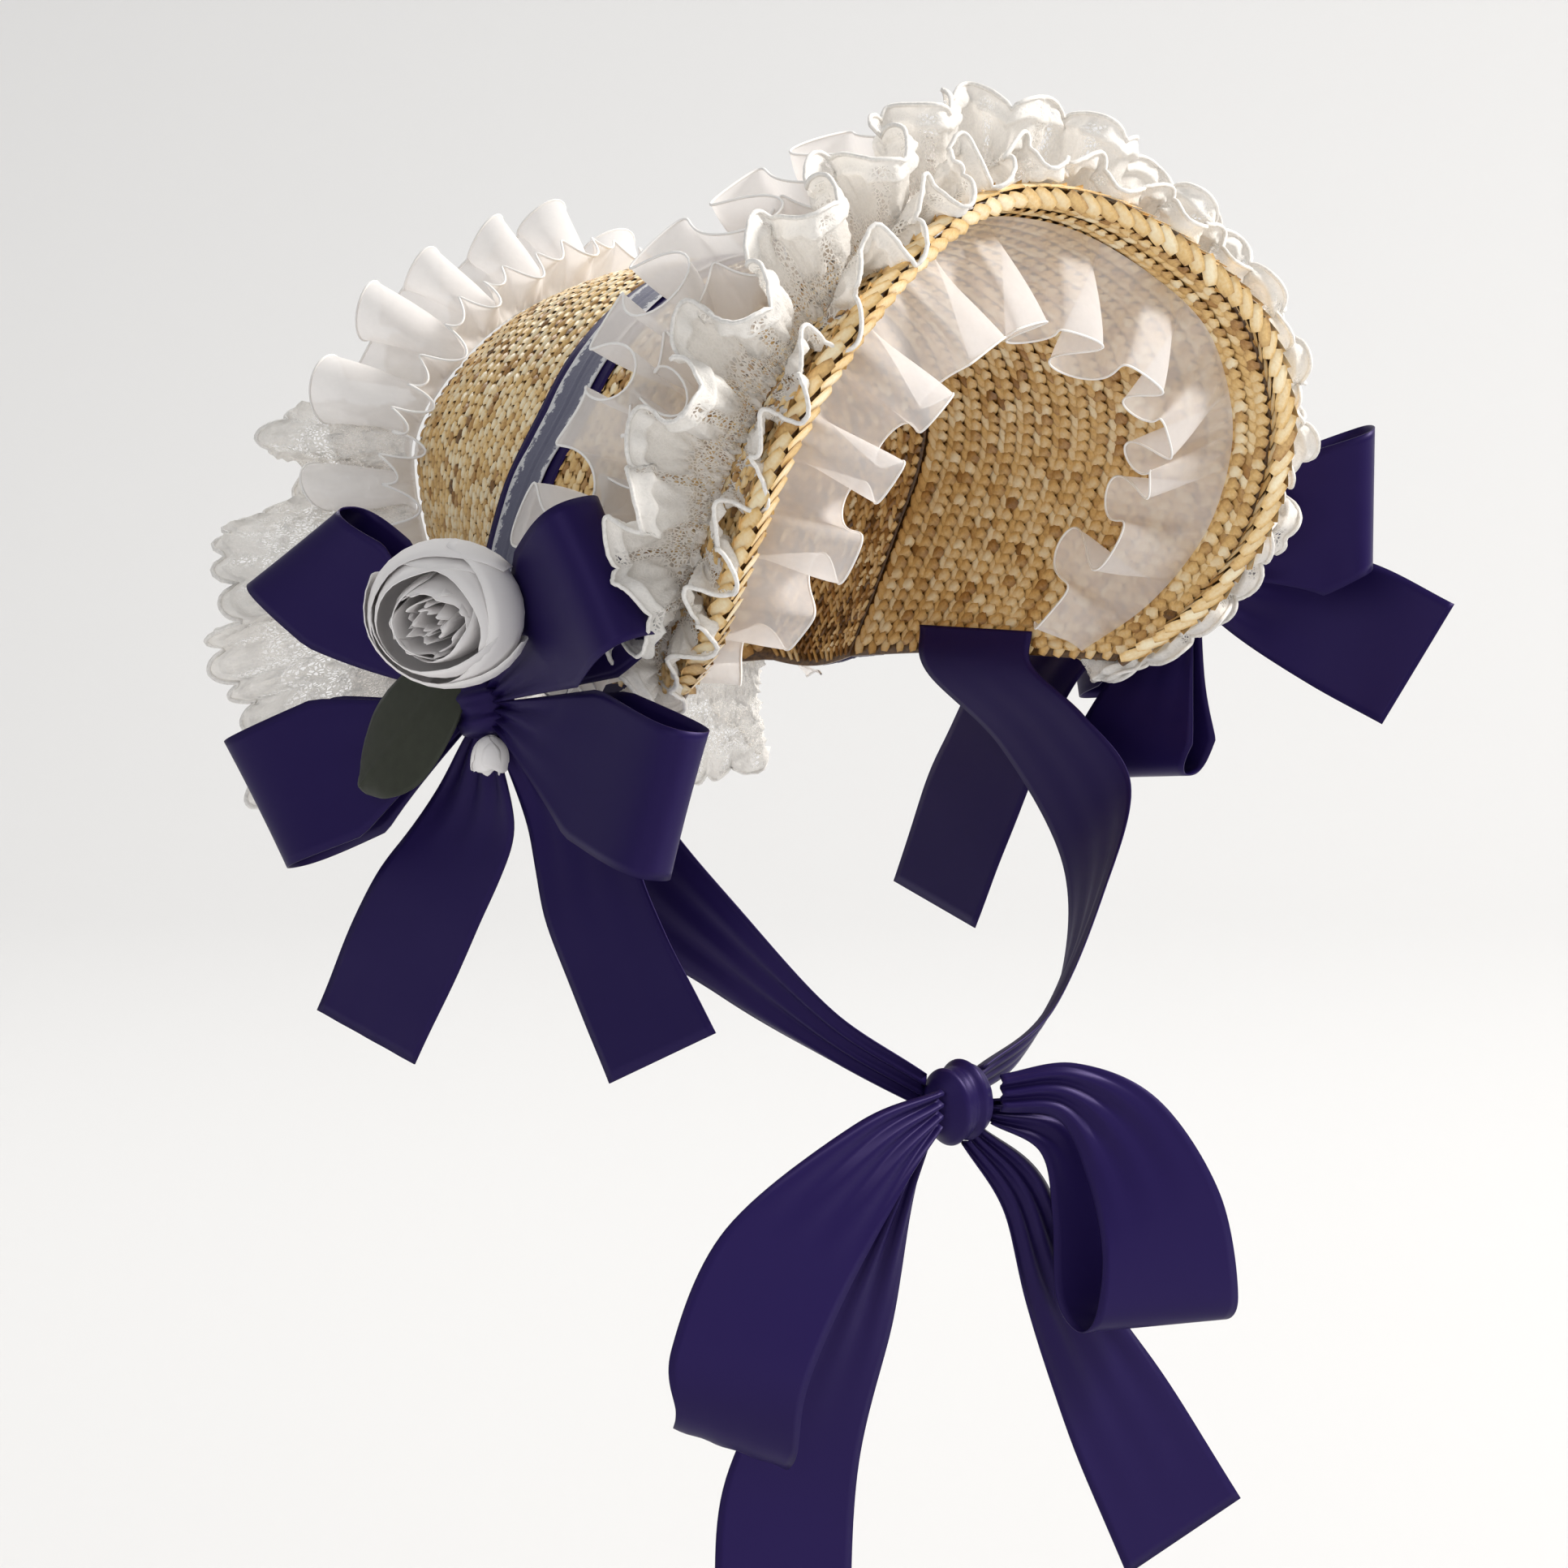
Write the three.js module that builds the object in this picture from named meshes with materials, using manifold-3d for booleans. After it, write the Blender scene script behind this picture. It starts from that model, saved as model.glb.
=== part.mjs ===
import * as THREE from 'three';
import Module from 'manifold-3d';
import { mergeVertices } from 'three/addons/utils/BufferGeometryUtils.js';

// Poke bonnet of plaited straw with ruffles, side bows, roses and chin ties.
// Millimetres. +X is the wearer's left, -Y the front, +Z up.
// The origin is the seat on the top of the wearer's head, on the symmetry plane.

const wasm = await Module();
wasm.setup();

// Driving dimensions
const strawWall = 2.0;
const clothWall = 1.2;
const ribbonWall = 1.0;
const gap = 0.3;
const archSteps = 24;
const foldSteps = 6;
const rimRadius = 2.6;
const fullReach = 30;
const archEnd = 0.985;
const edgeClear = 4.6;
const bandLift = 0.6;
const bandHalf = 14;
const tapeHalf = 9;
const brimHollow = 4;
const crownSwell = 6;
const ribbonHalf = 24;
const loopFan = 0.39;
const loopRoot = 9.92;
const loopLayer = 2.2;
const petalWall = 1.6;
const bowKnot = [8, 10, 10];

// Half of the straw form, one rib a row from the top centre to the lower end.
// front: brim edge, seam: where brim meets crown, back: turn of the crown into its back.
const ribs = [
  { front: [0, -71, 34], seam: [0, 57, 12], back: [0, 150, -1], tip: [0, 170.5, -50] },
  { front: [32, -75, 29], seam: [25, 57, 9], back: [21, 150, -5], tip: [0, 171, -53] },
  { front: [62, -81, 14], seam: [50, 57, -2], back: [41, 150, -15], tip: [0, 171.5, -57] },
  { front: [86, -84, -4], seam: [69, 58, -18], back: [59, 150, -30], tip: [0, 172, -63] },
  { front: [103, -80, -27], seam: [80, 62, -38], back: [71, 150, -47], tip: [0, 172, -71] },
  { front: [112, -73, -50], seam: [86, 71, -58], back: [74, 146, -66], tip: [0, 172, -82] },
  { front: [114, -60, -78], seam: [86, 82, -80], back: [73, 140, -86], tip: [0, 170, -97] },
  { front: [108, -40, -103], seam: [84, 92, -103], back: [71, 134, -107], tip: [0, 166, -115] },
  { front: [98, -14, -122], seam: [79, 100, -126], back: [67, 128, -128], tip: [0, 160, -134] },
];

// Ruffles: where they are sewn, how they fold and how they stand along the arch.
// inset is from the seam for the outer organza and from the front edge for the others.
// hub is how far below the seat the line lies that a back ruffle stands away from.
// wave and slide are the fold sizes; lean turns a strip from flat (0) past upright (90) to laid back.
const ruffles = {
  brimOrganza: {
    inset: 78,
    folds: 16,
    wave: 10,
    slide: 3.6,
    stand: [
      { u: -1, lean: 140, reach: 20 },
      { u: -0.8, lean: 138, reach: 26 },
      { u: -0.6, lean: 112, reach: 34 },
      { u: -0.35, lean: 88, reach: 36 },
      { u: 0, lean: 72, reach: 29 },
      { u: 0.4, lean: 80, reach: 27 },
      { u: 0.6, lean: 130, reach: 22 },
      { u: 1, lean: 140, reach: 18 },
    ],
  },
  brimLace: {
    inset: 24,
    folds: 18,
    wave: 9,
    slide: 4,
    stand: [
      { u: -1, lean: 34, reach: 14 },
      { u: -0.86, lean: 34, reach: 20 },
      { u: -0.74, lean: 48, reach: 34 },
      { u: -0.5, lean: 52, reach: 39 },
      { u: 0.1, lean: 50, reach: 37 },
      { u: 0.28, lean: 42, reach: 29 },
      { u: 0.5, lean: 46, reach: 29 },
      { u: 0.78, lean: 46, reach: 29 },
      { u: 0.9, lean: 26, reach: 17 },
      { u: 1, lean: 26, reach: 12 },
    ],
  },
  innerFrill: {
    inset: 17,
    folds: 13,
    wave: 7.5,
    slide: 3.6,
    stand: [
      { u: -1, lean: 84, reach: 22 },
      { u: -0.8, lean: 84, reach: 32 },
      { u: -0.4, lean: 84, reach: 37 },
      { u: 0, lean: 88, reach: 39 },
      { u: 0.3, lean: 92, reach: 37 },
      { u: 0.45, lean: 98, reach: 33 },
      { u: 0.6, lean: 112, reach: 37 },
      { u: 0.85, lean: 118, reach: 36 },
      { u: 1, lean: 120, reach: 24 },
    ],
  },
  backOrganza: {
    sewnOut: 1.7, sewnBack: 1, hub: 62, length: 34, leanTop: 18, leanSide: 44, folds: 15, wave: 7, slide: 3.2,
  },
  backLace: {
    sewnBack: 6, hub: 66, length: 68, lengthTop: 40, leanTop: -2, leanSide: 24,
    folds: 20, wave: 6.5, slide: 3,
    nape: [[44, 147, -132], [0, 158, -136], [-44, 147, -132]],
  },
};

// Side bows. Each loop runs from the knot to its tip; open is half its depth at the fattest.
// edge is the half ribbon across the tip.
const rightBow = {
  knot: [-128, 47, -127],
  loops: {
    upper_back: { tip: [-143, 122, -79], edge: [4, -20, 13], open: 9 },
    lower_back: { tip: [-146, 140, -165], edge: [-3, 13, 20], open: 9 },
    upper_front: { tip: [-141, -31, -79], edge: [-2, 11, 19], open: 11 },
    lower_front: { tip: [-134, -54, -151], edge: [2, -6, 21], open: 9 },
  },
};

const leftBow = {
  knot: [125.6, -22.3, -92],
  loops: {
    upper_back: { tip: [141, 48, -50], edge: [2, -12, 20], open: 8 },
    lower_back: { tip: [143, 50, -118], edge: [2, 8, 22], open: 8 },
    upper_front: { tip: [170, -62, -67], edge: [-1, -1, 24], open: 9 },
    lower_front: { tip: [123, 4, -164], edge: [4, -23, 2], open: 7 },
  },
};

// Free ribbon ends and chin ties, a row for each bend: centre and half ribbon across.
const ribbonRuns = {
  right_bow_back_tail: [
    { at: [-124.3, 51.3, -134.8], half: [0, 4, 2] },
    { at: [-122, 62, -165], half: [-2, 20, 2] },
    { at: [-127, 80, -195], half: [-4, 23, 5] },
    { at: [-131, 106, -240], half: [-4, 21, 7] },
  ],
  right_bow_front_tail: [
    { at: [-123.7, 41.8, -134], half: [0, 4, -2] },
    { at: [-112, 25, -158], half: [-3, 16, -8] },
    { at: [-113, 8, -192], half: [-3, 22, -5] },
    { at: [-113, -22, -234], half: [-4, 21, -10] },
  ],
  left_bow_front_tail: [
    { at: [131.5, -18, -98.7], half: [2, 1, 4] },
    { at: [154, -26, -101], half: [6, -3, 16] },
    { at: [172, -46, -111], half: [8, -6, 21] },
    { at: [183, -72, -124], half: [9, -8, 20.5] },
  ],
  left_bow_back_tail: [
    { at: [122.6, -13.4, -98.4], half: [-1, 2, 1] },
    { at: [109, 32, -122], half: [1, 18, 6] },
    { at: [105, 60, -166], half: [2, 23, 7] },
    { at: [103, 82, -214], half: [2, 23, 6] },
  ],
  chin_tie_right: [
    { at: [-84, 42, -113], half: [3.5, 24, 0] },
    { at: [-83.5, 42, -127], half: [3, 23, -2] },
    { at: [-90, 37, -147], half: [-1, 20, -9] },
    { at: [-90, 18, -178], half: [0, 12, -18] },
    { at: [-72, -7, -206], half: [2, 7, -15] },
    { at: [-46, -26, -233], half: [3, 5, -9] },
    { at: [-20.5, -43.5, -252], half: [1, 2, -6] },
  ],
  chin_tie_left: [
    { at: [84, 42, -113], half: [-3.5, 24, 0] },
    { at: [84, 40, -127], half: [-3, 23, -2] },
    { at: [93, 18, -148], half: [1, 21, -7] },
    { at: [97, -4, -178], half: [0, 16, -15] },
    { at: [76, -18, -212], half: [-2, 8, -15] },
    { at: [38, -34, -240], half: [-3, 5, -9] },
    { at: [1, -44, -250.5], half: [-1, 2, -5] },
  ],
  chin_tail_right: [
    { at: [-4, -47.5, -267.5], half: [3, -1, 3] },
    { at: [17, -50, -288], half: [7, -2, 5] },
    { at: [35, -48, -322], half: [11, -3, 5] },
    { at: [60, -52, -366], half: [17, -5, 9] },
    { at: [84, -60, -412], half: [20, -7, 11] },
  ],
  chin_tail_left: [
    { at: [-23.5, -44, -268.5], half: [5, -1, 4] },
    { at: [-32, -37, -296], half: [9, -3, 3] },
    { at: [-42, -28, -330], half: [18, -5, 3] },
    { at: [-57, -20, -376], half: [23, -7, 2] },
    { at: [-61, -20, -430], half: [23, -7, 0] },
  ],
  chin_loop_right: [
    { at: [1.5, -56, -253.5], half: [0, 0, 6] },
    { at: [22, -66, -254], half: [3, -1, 9] },
    { at: [39, -74, -270], half: [12, -4, 12] },
    { at: [49, -82, -298], half: [21, -6, 8] },
    { at: [51, -83, -326], half: [25, -8, 1] },
    { at: [51, -75, -333], half: [25, -8, 0] },
    { at: [50, -66, -322], half: [25, -8, 1] },
    { at: [46, -62, -290], half: [21, -6, 7] },
    { at: [30, -58, -266], half: [10, -3, 9] },
    { at: [2.5, -49.5, -260], half: [0, 0, 4] },
  ],
  chin_loop_left: [
    { at: [-22.5, -53, -256], half: [0, 0, 6] },
    { at: [-48, -52, -268], half: [-8, 3, 10] },
    { at: [-84, -48, -298], half: [-20, 6, 12] },
    { at: [-102, -46, -330], half: [-22, 7, 8] },
    { at: [-99, -41, -352], half: [-20, 6, 9] },
    { at: [-94, -32, -358], half: [-18, 6, 8] },
    { at: [-86, -30, -342], half: [-18, 6, 6] },
    { at: [-72, -34, -304], half: [-16, 5, 10] },
    { at: [-46, -40, -277], half: [-6, 3, 9] },
    { at: [-21.5, -46.5, -262.5], half: [0, 0, 4] },
  ],
};

// Roses: where the flower sits and which way it faces
const roses = {
  right: { at: [-153.6, 29.6, -94.6], facing: [-0.92, -0.35, 0.1], radius: 29 },
  left: { at: [149.8, -11.4, -60.8], facing: [0.9, -0.4, 0.1], radius: 28 },
};

// Leaves under the roses, base to tip, and the small bud under the right knot
const leaves = {
  right: [
    { at: [-134, 51, -115], half: [0, 4, 4] },
    { at: [-139, 60, -125], half: [2, 12, 10] },
    { at: [-144, 71, -139], half: [2, 13, 12] },
    { at: [-147, 80, -149], half: [2, 9, 8] },
    { at: [-148, 86, -155], half: [0, 2, 2] },
  ],
  left: [
    { at: [139.5, 6, -80], half: [0, 4, 4] },
    { at: [146, 14, -88], half: [-2, 12, 10] },
    { at: [150.5, 25, -101], half: [-2, 13, 12] },
    { at: [154.5, 34, -112], half: [-2, 9, 8] },
    { at: [155.5, 40, -118], half: [0, 2, 2] },
  ],
};
const rosebud = { at: [-131, 40, -143.5], size: [5, 5, 9] };

const chinKnot = { at: [-10, -48, -256], size: [12, 9, 13] };

const colours = {
  straw: { color: 0xb8925f, roughness: 0.62, metalness: 0 },
  navy: { color: 0x2c2352, roughness: 0.5, metalness: 0 },
  tape: { color: 0x8f97ad, roughness: 0.8, metalness: 0 },
  organza: { color: 0xdcd2cc, roughness: 0.6, metalness: 0 },
  lace: { color: 0xe8e0d6, roughness: 0.8, metalness: 0 },
  petal: { color: 0xe0dcdc, roughness: 0.75, metalness: 0 },
  leaf: { color: 0x2a2c22, roughness: 0.6, metalness: 0 },
};

const bonnet = new THREE.Group();

function addPiece(name, geometry, finish) {
  const mesh = new THREE.Mesh(geometry, new THREE.MeshStandardMaterial(colours[finish]));
  mesh.name = name;
  bonnet.add(mesh);
}

const vec = (p) => new THREE.Vector3(...p);

// One line of the straw form along the whole arch, u from -1 (right) to 1 (left).
function archLine(key) {
  const half = ribs.map((rib) => vec(rib[key]));
  const mirrored = half.slice(1).reverse().map((p) => new THREE.Vector3(-p.x, p.y, p.z));
  const curve = new THREE.CatmullRomCurve3([...mirrored, ...half], false, 'catmullrom', 0.5);
  return (u) => curve.getPoint((u + 1) / 2);
}

const frontLine = archLine('front');
const seamLine = archLine('seam');
const backLine = archLine('back');
const tipLine = archLine('tip');

// Middle of the brim wall: s is 0 at the front edge and 1 at the seam.
function brimPoint(u, s) {
  const point = frontLine(u).lerp(seamLine(u), s);
  const centre = new THREE.Vector3(0, point.y, -60);
  const inward = centre.sub(point).normalize();
  return point.addScaledVector(inward, brimHollow * Math.sin(Math.PI * s));
}

// Middle of the crown wall: s is 0 at the seam, 1 at the turn and 2 at the middle of the back.
function crownPoint(u, s) {
  const seam = seamLine(u);
  const turn = backLine(u);
  const tip = tipLine(u);
  if (s <= 1) {
    const point = seam.clone().lerp(turn, s);
    const outward = new THREE.Vector3(point.x, 0, point.z + 60).normalize();
    return point.addScaledVector(outward, crownSwell * Math.sin(Math.PI * 0.5 * (1 + s)) * s * 2);
  }
  const t = s - 1;
  const point = turn.clone().lerp(tip, t);
  point.y = turn.y + (tip.y - turn.y) * Math.sin(Math.PI * 0.5 * t);
  return point;
}

// Directions on a surface: along the arch, across it and out of it.
function surfaceFrame(surface, u, s, step = 0.004) {
  const ahead = surface(Math.min(u + step, 1), s);
  const along = ahead.sub(surface(Math.max(u - step, -1), s)).normalize();
  const across = surface(u, s - step).sub(surface(u, s + step)).normalize();
  const out = across.clone().cross(along).normalize();
  across.copy(along).cross(out).normalize();
  return { at: surface(u, s), along, across, out };
}

// A closed wall from two grids of points, rows[i][j], joined round their edges.
// With meets set, the two ends of the last row lie on each other and need no edge.
function closedWall(outer, inner, { looped = false, meets = false } = {}) {
  const rows = outer.length;
  const cols = outer[0].length;
  const position = [];
  [outer, inner].forEach((grid) => grid.forEach((row) => row.forEach((p) => position.push(p.x, p.y, p.z))));
  const at = (side, i, j) => side * rows * cols + i * cols + (j % cols);
  const index = [];
  const quad = (a, b, c, d) => index.push(a, b, c, a, c, d);
  const lastCol = looped ? cols : cols - 1;
  for (let i = 0; i < rows - 1; i += 1) {
    for (let j = 0; j < lastCol; j += 1) {
      quad(at(0, i, j), at(0, i, j + 1), at(0, i + 1, j + 1), at(0, i + 1, j));
      quad(at(1, i, j), at(1, i + 1, j), at(1, i + 1, j + 1), at(1, i, j + 1));
    }
  }
  for (let j = 0; j < lastCol; j += 1) {
    quad(at(0, 0, j), at(1, 0, j), at(1, 0, j + 1), at(0, 0, j + 1));
    if (!meets) {
      quad(at(0, rows - 1, j), at(0, rows - 1, j + 1), at(1, rows - 1, j + 1), at(1, rows - 1, j));
    }
  }
  for (let i = 0; i < rows - 1 && !looped; i += 1) {
    quad(at(0, i, 0), at(0, i + 1, 0), at(1, i + 1, 0), at(1, i, 0));
    quad(at(0, i, cols - 1), at(1, i, cols - 1), at(1, i + 1, cols - 1), at(0, i + 1, cols - 1));
  }
  return solidFrom(position, index);
}

// Welds the points, drops collapsed triangles and turns the faces outward.
function solidFrom(position, index) {
  let geometry = new THREE.BufferGeometry();
  geometry.setAttribute('position', new THREE.Float32BufferAttribute(position, 3));
  geometry.setIndex(index);
  geometry = mergeVertices(geometry, 1e-3);
  const points = geometry.getAttribute('position');
  const welded = geometry.getIndex().array;
  const kept = [];
  let volume = 0;
  const [a, b, c] = [new THREE.Vector3(), new THREE.Vector3(), new THREE.Vector3()];
  for (let k = 0; k < welded.length; k += 3) {
    const [i, j, l] = [welded[k], welded[k + 1], welded[k + 2]];
    if (i !== j && j !== l && i !== l) {
      kept.push(i, j, l);
      a.fromBufferAttribute(points, i);
      b.fromBufferAttribute(points, j);
      c.fromBufferAttribute(points, l);
      volume += a.dot(b.cross(c));
    }
  }
  geometry.setIndex(volume < 0 ? kept.reverse() : kept);
  geometry.computeVertexNormals();
  return geometry;
}

// A wall of even thickness about a sheet; the sheet is given as rows of points.
function thickened(sheet, thickness, looped = false) {
  const rows = sheet.length;
  const cols = sheet[0].length;
  const side = (sign) => sheet.map((row, i) => row.map((p, j) => {
    const left = looped ? row[(j - 1 + cols) % cols] : row[Math.max(j - 1, 0)];
    const right = looped ? row[(j + 1) % cols] : row[Math.min(j + 1, cols - 1)];
    const along = right.clone().sub(left);
    const across = sheet[Math.min(i + 1, rows - 1)][j].clone().sub(sheet[Math.max(i - 1, 0)][j]);
    const normal = along.cross(across).normalize();
    return p.clone().addScaledVector(normal, sign * thickness / 2);
  }));
  return closedWall(side(1), side(-1), { looped });
}

const evenly = (count, from, to) => (
  Array.from({ length: count + 1 }, (_, k) => from + (to - from) * k / count));

// Straw brim
function brimGeometry() {
  const rows = evenly(4, 0, 1);
  const grid = (sign) => rows.map((row) => evenly(archSteps, -1, 1).map((u) => {
    const first = edgeClear / frontLine(u).distanceTo(seamLine(u));
    const s = THREE.MathUtils.lerp(first, 0.998, row);
    const frame = surfaceFrame(brimPoint, u, s);
    return frame.at.addScaledVector(frame.out, sign * strawWall / 2);
  }));
  return closedWall(grid(1), grid(-1));
}

// Straw crown, closed at the back and open below
function crownGeometry() {
  const rows = [0.002, 0.25, 0.5, 0.75, 1, 1.2, 1.5, 1.75, 2];
  const grid = (sign) => rows.map((s) => evenly(archSteps, -1, 1).map((u) => {
    if (s === 2) {
      return tipLine(u).add(new THREE.Vector3(0, sign * strawWall / 2, 0));
    }
    const frame = surfaceFrame(crownPoint, u, s);
    return frame.at.addScaledVector(frame.out, sign * strawWall / 2);
  }));
  return closedWall(grid(1), grid(-1), { meets: true });
}

// Plaited edge cord of the brim
function rimGeometry() {
  const points = evenly(32, -1, 1).map((u) => frontLine(u));
  const path = new THREE.CatmullRomCurve3(points, false, 'catmullrom', 0.5);
  const section = new THREE.Shape();
  section.absarc(0, 0, rimRadius, 0, 2 * Math.PI, false);
  const geometry = new THREE.ExtrudeGeometry(section, {
    extrudePath: path, steps: 40, curveSegments: 2, bevelEnabled: false,
  });
  geometry.deleteAttribute('normal');
  geometry.deleteAttribute('uv');
  return mergeVertices(geometry, 1e-3);
}

// A strip that lies on the straw over the seam
function bandGeometry(half, lift, thickness) {
  const rows = [-half, -half / 3, half / 3, half];
  const grid = (offset) => rows.map((d) => evenly(archSteps, -1, 1).map((u) => {
    const surface = d < 0 ? brimPoint : crownPoint;
    const length = surface(u, 0).distanceTo(surface(u, 1));
    const s = d < 0 ? 1 + d / length : d / length;
    const frame = surfaceFrame(surface, u, s);
    return frame.at.addScaledVector(frame.out, strawWall / 2 + offset);
  }));
  return closedWall(grid(lift + thickness), grid(lift));
}

// Folds vary a little in size along a ruffle
const unevenness = (t, seed) => 1 + 0.22 * Math.sin(17.3 * t + seed) + 0.12 * Math.sin(41.7 * t + 2 * seed);

// A gathered strip on its sewn line, which frameAt(t) gives with the strip's lean and reach there
function ruffleSheet({ frameAt, folds, wave, slide, seed, side, rows, looped }) {
  const steps = folds * foldSteps;
  const stops = evenly(steps, 0, 1).slice(0, looped ? steps : steps + 1);
  return rows.map((h) => stops.map((t) => {
    const frame = frameAt(t);
    const angle = THREE.MathUtils.degToRad(frame.lean);
    const out = frame.out.clone().multiplyScalar(side);
    const rise = frame.across.clone().multiplyScalar(Math.cos(angle)).addScaledVector(out, Math.sin(angle));
    const fold = frame.across.clone().multiplyScalar(-Math.sin(angle)).addScaledVector(out, Math.cos(angle));
    const phase = 2 * Math.PI * folds * t;
    const size = unevenness(t, seed) * Math.min(1, frame.reach / fullReach);
    return frame.at.addScaledVector(rise, frame.reach * h)
      .addScaledVector(fold, h * wave * size * Math.sin(phase))
      .addScaledVector(frame.along, -h * slide * size * Math.sin(2 * phase));
  }));
}

// A column of a table of rows sorted by u, read at one u
function columnAt(rows, column, u) {
  const next = Math.max(1, rows.findIndex((row) => row.u >= u));
  const [low, high] = [rows[next - 1], rows[next]];
  return THREE.MathUtils.mapLinear(u, low.u, high.u, low[column], high[column]);
}

// A ruffle sewn on the brim, side 1 outside and -1 inside, inset from the seam or the front edge
function brimRuffle(spec, side, fromSeam, seed) {
  const frameAt = (t) => {
    const u = archEnd * (2 * t - 1);
    const ribLength = frontLine(u).distanceTo(seamLine(u));
    const s = fromSeam ? 1 - spec.inset / ribLength : spec.inset / ribLength;
    const frame = surfaceFrame(brimPoint, u, s);
    frame.at.addScaledVector(frame.out, side * (strawWall / 2 + gap * 1.5 + clothWall / 2));
    frame.reach = columnAt(spec.stand, 'reach', u);
    frame.lean = columnAt(spec.stand, 'lean', u);
    return frame;
  };
  const sheet = ruffleSheet({ ...spec, frameAt, side, seed, rows: [0, 1], looped: false });
  return thickened(sheet, clothWall);
}

const lowShare = (at) => THREE.MathUtils.smoothstep(-at.z, 15, 95);

// The organza ruffle round the back of the crown
function backOrganzaGeometry() {
  const spec = ruffles.backOrganza;
  const frameAt = (t) => {
    const u = archEnd * (2 * t - 1);
    const at = backLine(u);
    const outward = new THREE.Vector3(at.x, 0, at.z + spec.hub).normalize();
    const along = backLine(u + 0.01).sub(backLine(u - 0.01)).normalize();
    const lean = THREE.MathUtils.lerp(spec.leanTop, spec.leanSide, lowShare(at));
    at.addScaledVector(outward, spec.sewnOut).add(new THREE.Vector3(0, spec.sewnBack, 0));
    return { at, along, across: new THREE.Vector3(0, 1, 0), out: outward, lean, reach: spec.length };
  };
  const sheet = ruffleSheet({ ...spec, frameAt, side: 1, seed: 3, rows: [0, 1] });
  return thickened(sheet, clothWall);
}

// Closed line round the back of the crown and the nape
function backRing() {
  const arch = evenly(24, -1, 1).map((u) => backLine(u));
  return new THREE.CatmullRomCurve3([...arch, ...ruffles.backLace.nape.map(vec)], true, 'catmullrom', 0.5);
}

function backLaceGeometry() {
  const spec = ruffles.backLace;
  const ring = backRing();
  const frameAt = (t) => {
    const at = ring.getPointAt(t % 1);
    const along = ring.getTangentAt(t % 1);
    const outward = new THREE.Vector3(at.x, 0, at.z + spec.hub).normalize();
    const reach = THREE.MathUtils.lerp(spec.lengthTop, spec.length, lowShare(at));
    const lean = THREE.MathUtils.lerp(spec.leanTop, spec.leanSide, lowShare(at));
    at.add(new THREE.Vector3(0, spec.sewnBack, 0));
    return { at, along, across: new THREE.Vector3(0, 1, 0), out: outward, lean, reach };
  };
  const sheet = ruffleSheet({ ...spec, frameAt, side: 1, seed: 5, rows: [0, 1], looped: true });
  return thickened(sheet, clothWall, true);
}

// A ribbon through its rows, centre and half width
function ribbonGeometry(rows, stepsPerRow) {
  const centres = new THREE.CatmullRomCurve3(rows.map((row) => vec(row.at)), false, 'catmullrom', 0.5);
  const halves = new THREE.CatmullRomCurve3(rows.map((row) => vec(row.half)), false, 'catmullrom', 0.5);
  const stops = evenly((rows.length - 1) * stepsPerRow, 0, 1);
  const sheet = [-1, 1].map((side) => stops.map((t) => (
    centres.getPoint(t).addScaledVector(halves.getPoint(t), side))));
  return thickened(sheet, ribbonWall);
}

// A bow loop: flat at the knot, round at its tip and open between
function loopGeometry(knot, loop) {
  const start = vec(knot);
  const tip = vec(loop.tip);
  const axis = tip.clone().sub(start);
  const length = axis.length();
  axis.normalize();
  const edge = vec(loop.edge);
  const depth = axis.clone().cross(edge).normalize();
  const square = depth.clone().cross(axis).normalize();
  const stops = evenly(18, -1, 1);
  const sheet = [-1, 1].map((side) => stops.map((t) => {
    const share = 1 - Math.abs(t) ** 2.4;
    const r = loopRoot + (length - loopRoot) * share;
    const half = Math.min(r * loopFan, ribbonHalf);
    const lean = THREE.MathUtils.smoothstep(share, 0.3, 1);
    const across = square.clone().lerp(edge.clone().normalize(), lean).normalize();
    return start.clone().addScaledVector(axis, r)
      .addScaledVector(depth, loopLayer * t + loop.open * Math.sin(Math.PI * t) * share)
      .addScaledVector(across, side * half);
  }));
  return thickened(sheet, ribbonWall);
}

// A rounded gathered knot
function knotGeometry(centre, size) {
  const geometry = new THREE.SphereGeometry(1, 10, 7);
  geometry.scale(...size);
  geometry.translate(...centre);
  geometry.deleteAttribute('normal');
  geometry.deleteAttribute('uv');
  return mergeVertices(geometry, 1e-3);
}

// The solid of a closed geometry, for joining
function solidOf(geometry) {
  const vertProperties = new Float32Array(geometry.getAttribute('position').array);
  const triVerts = new Uint32Array(geometry.getIndex().array);
  return new wasm.Manifold(new wasm.Mesh({ numProp: 3, vertProperties, triVerts }));
}

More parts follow.
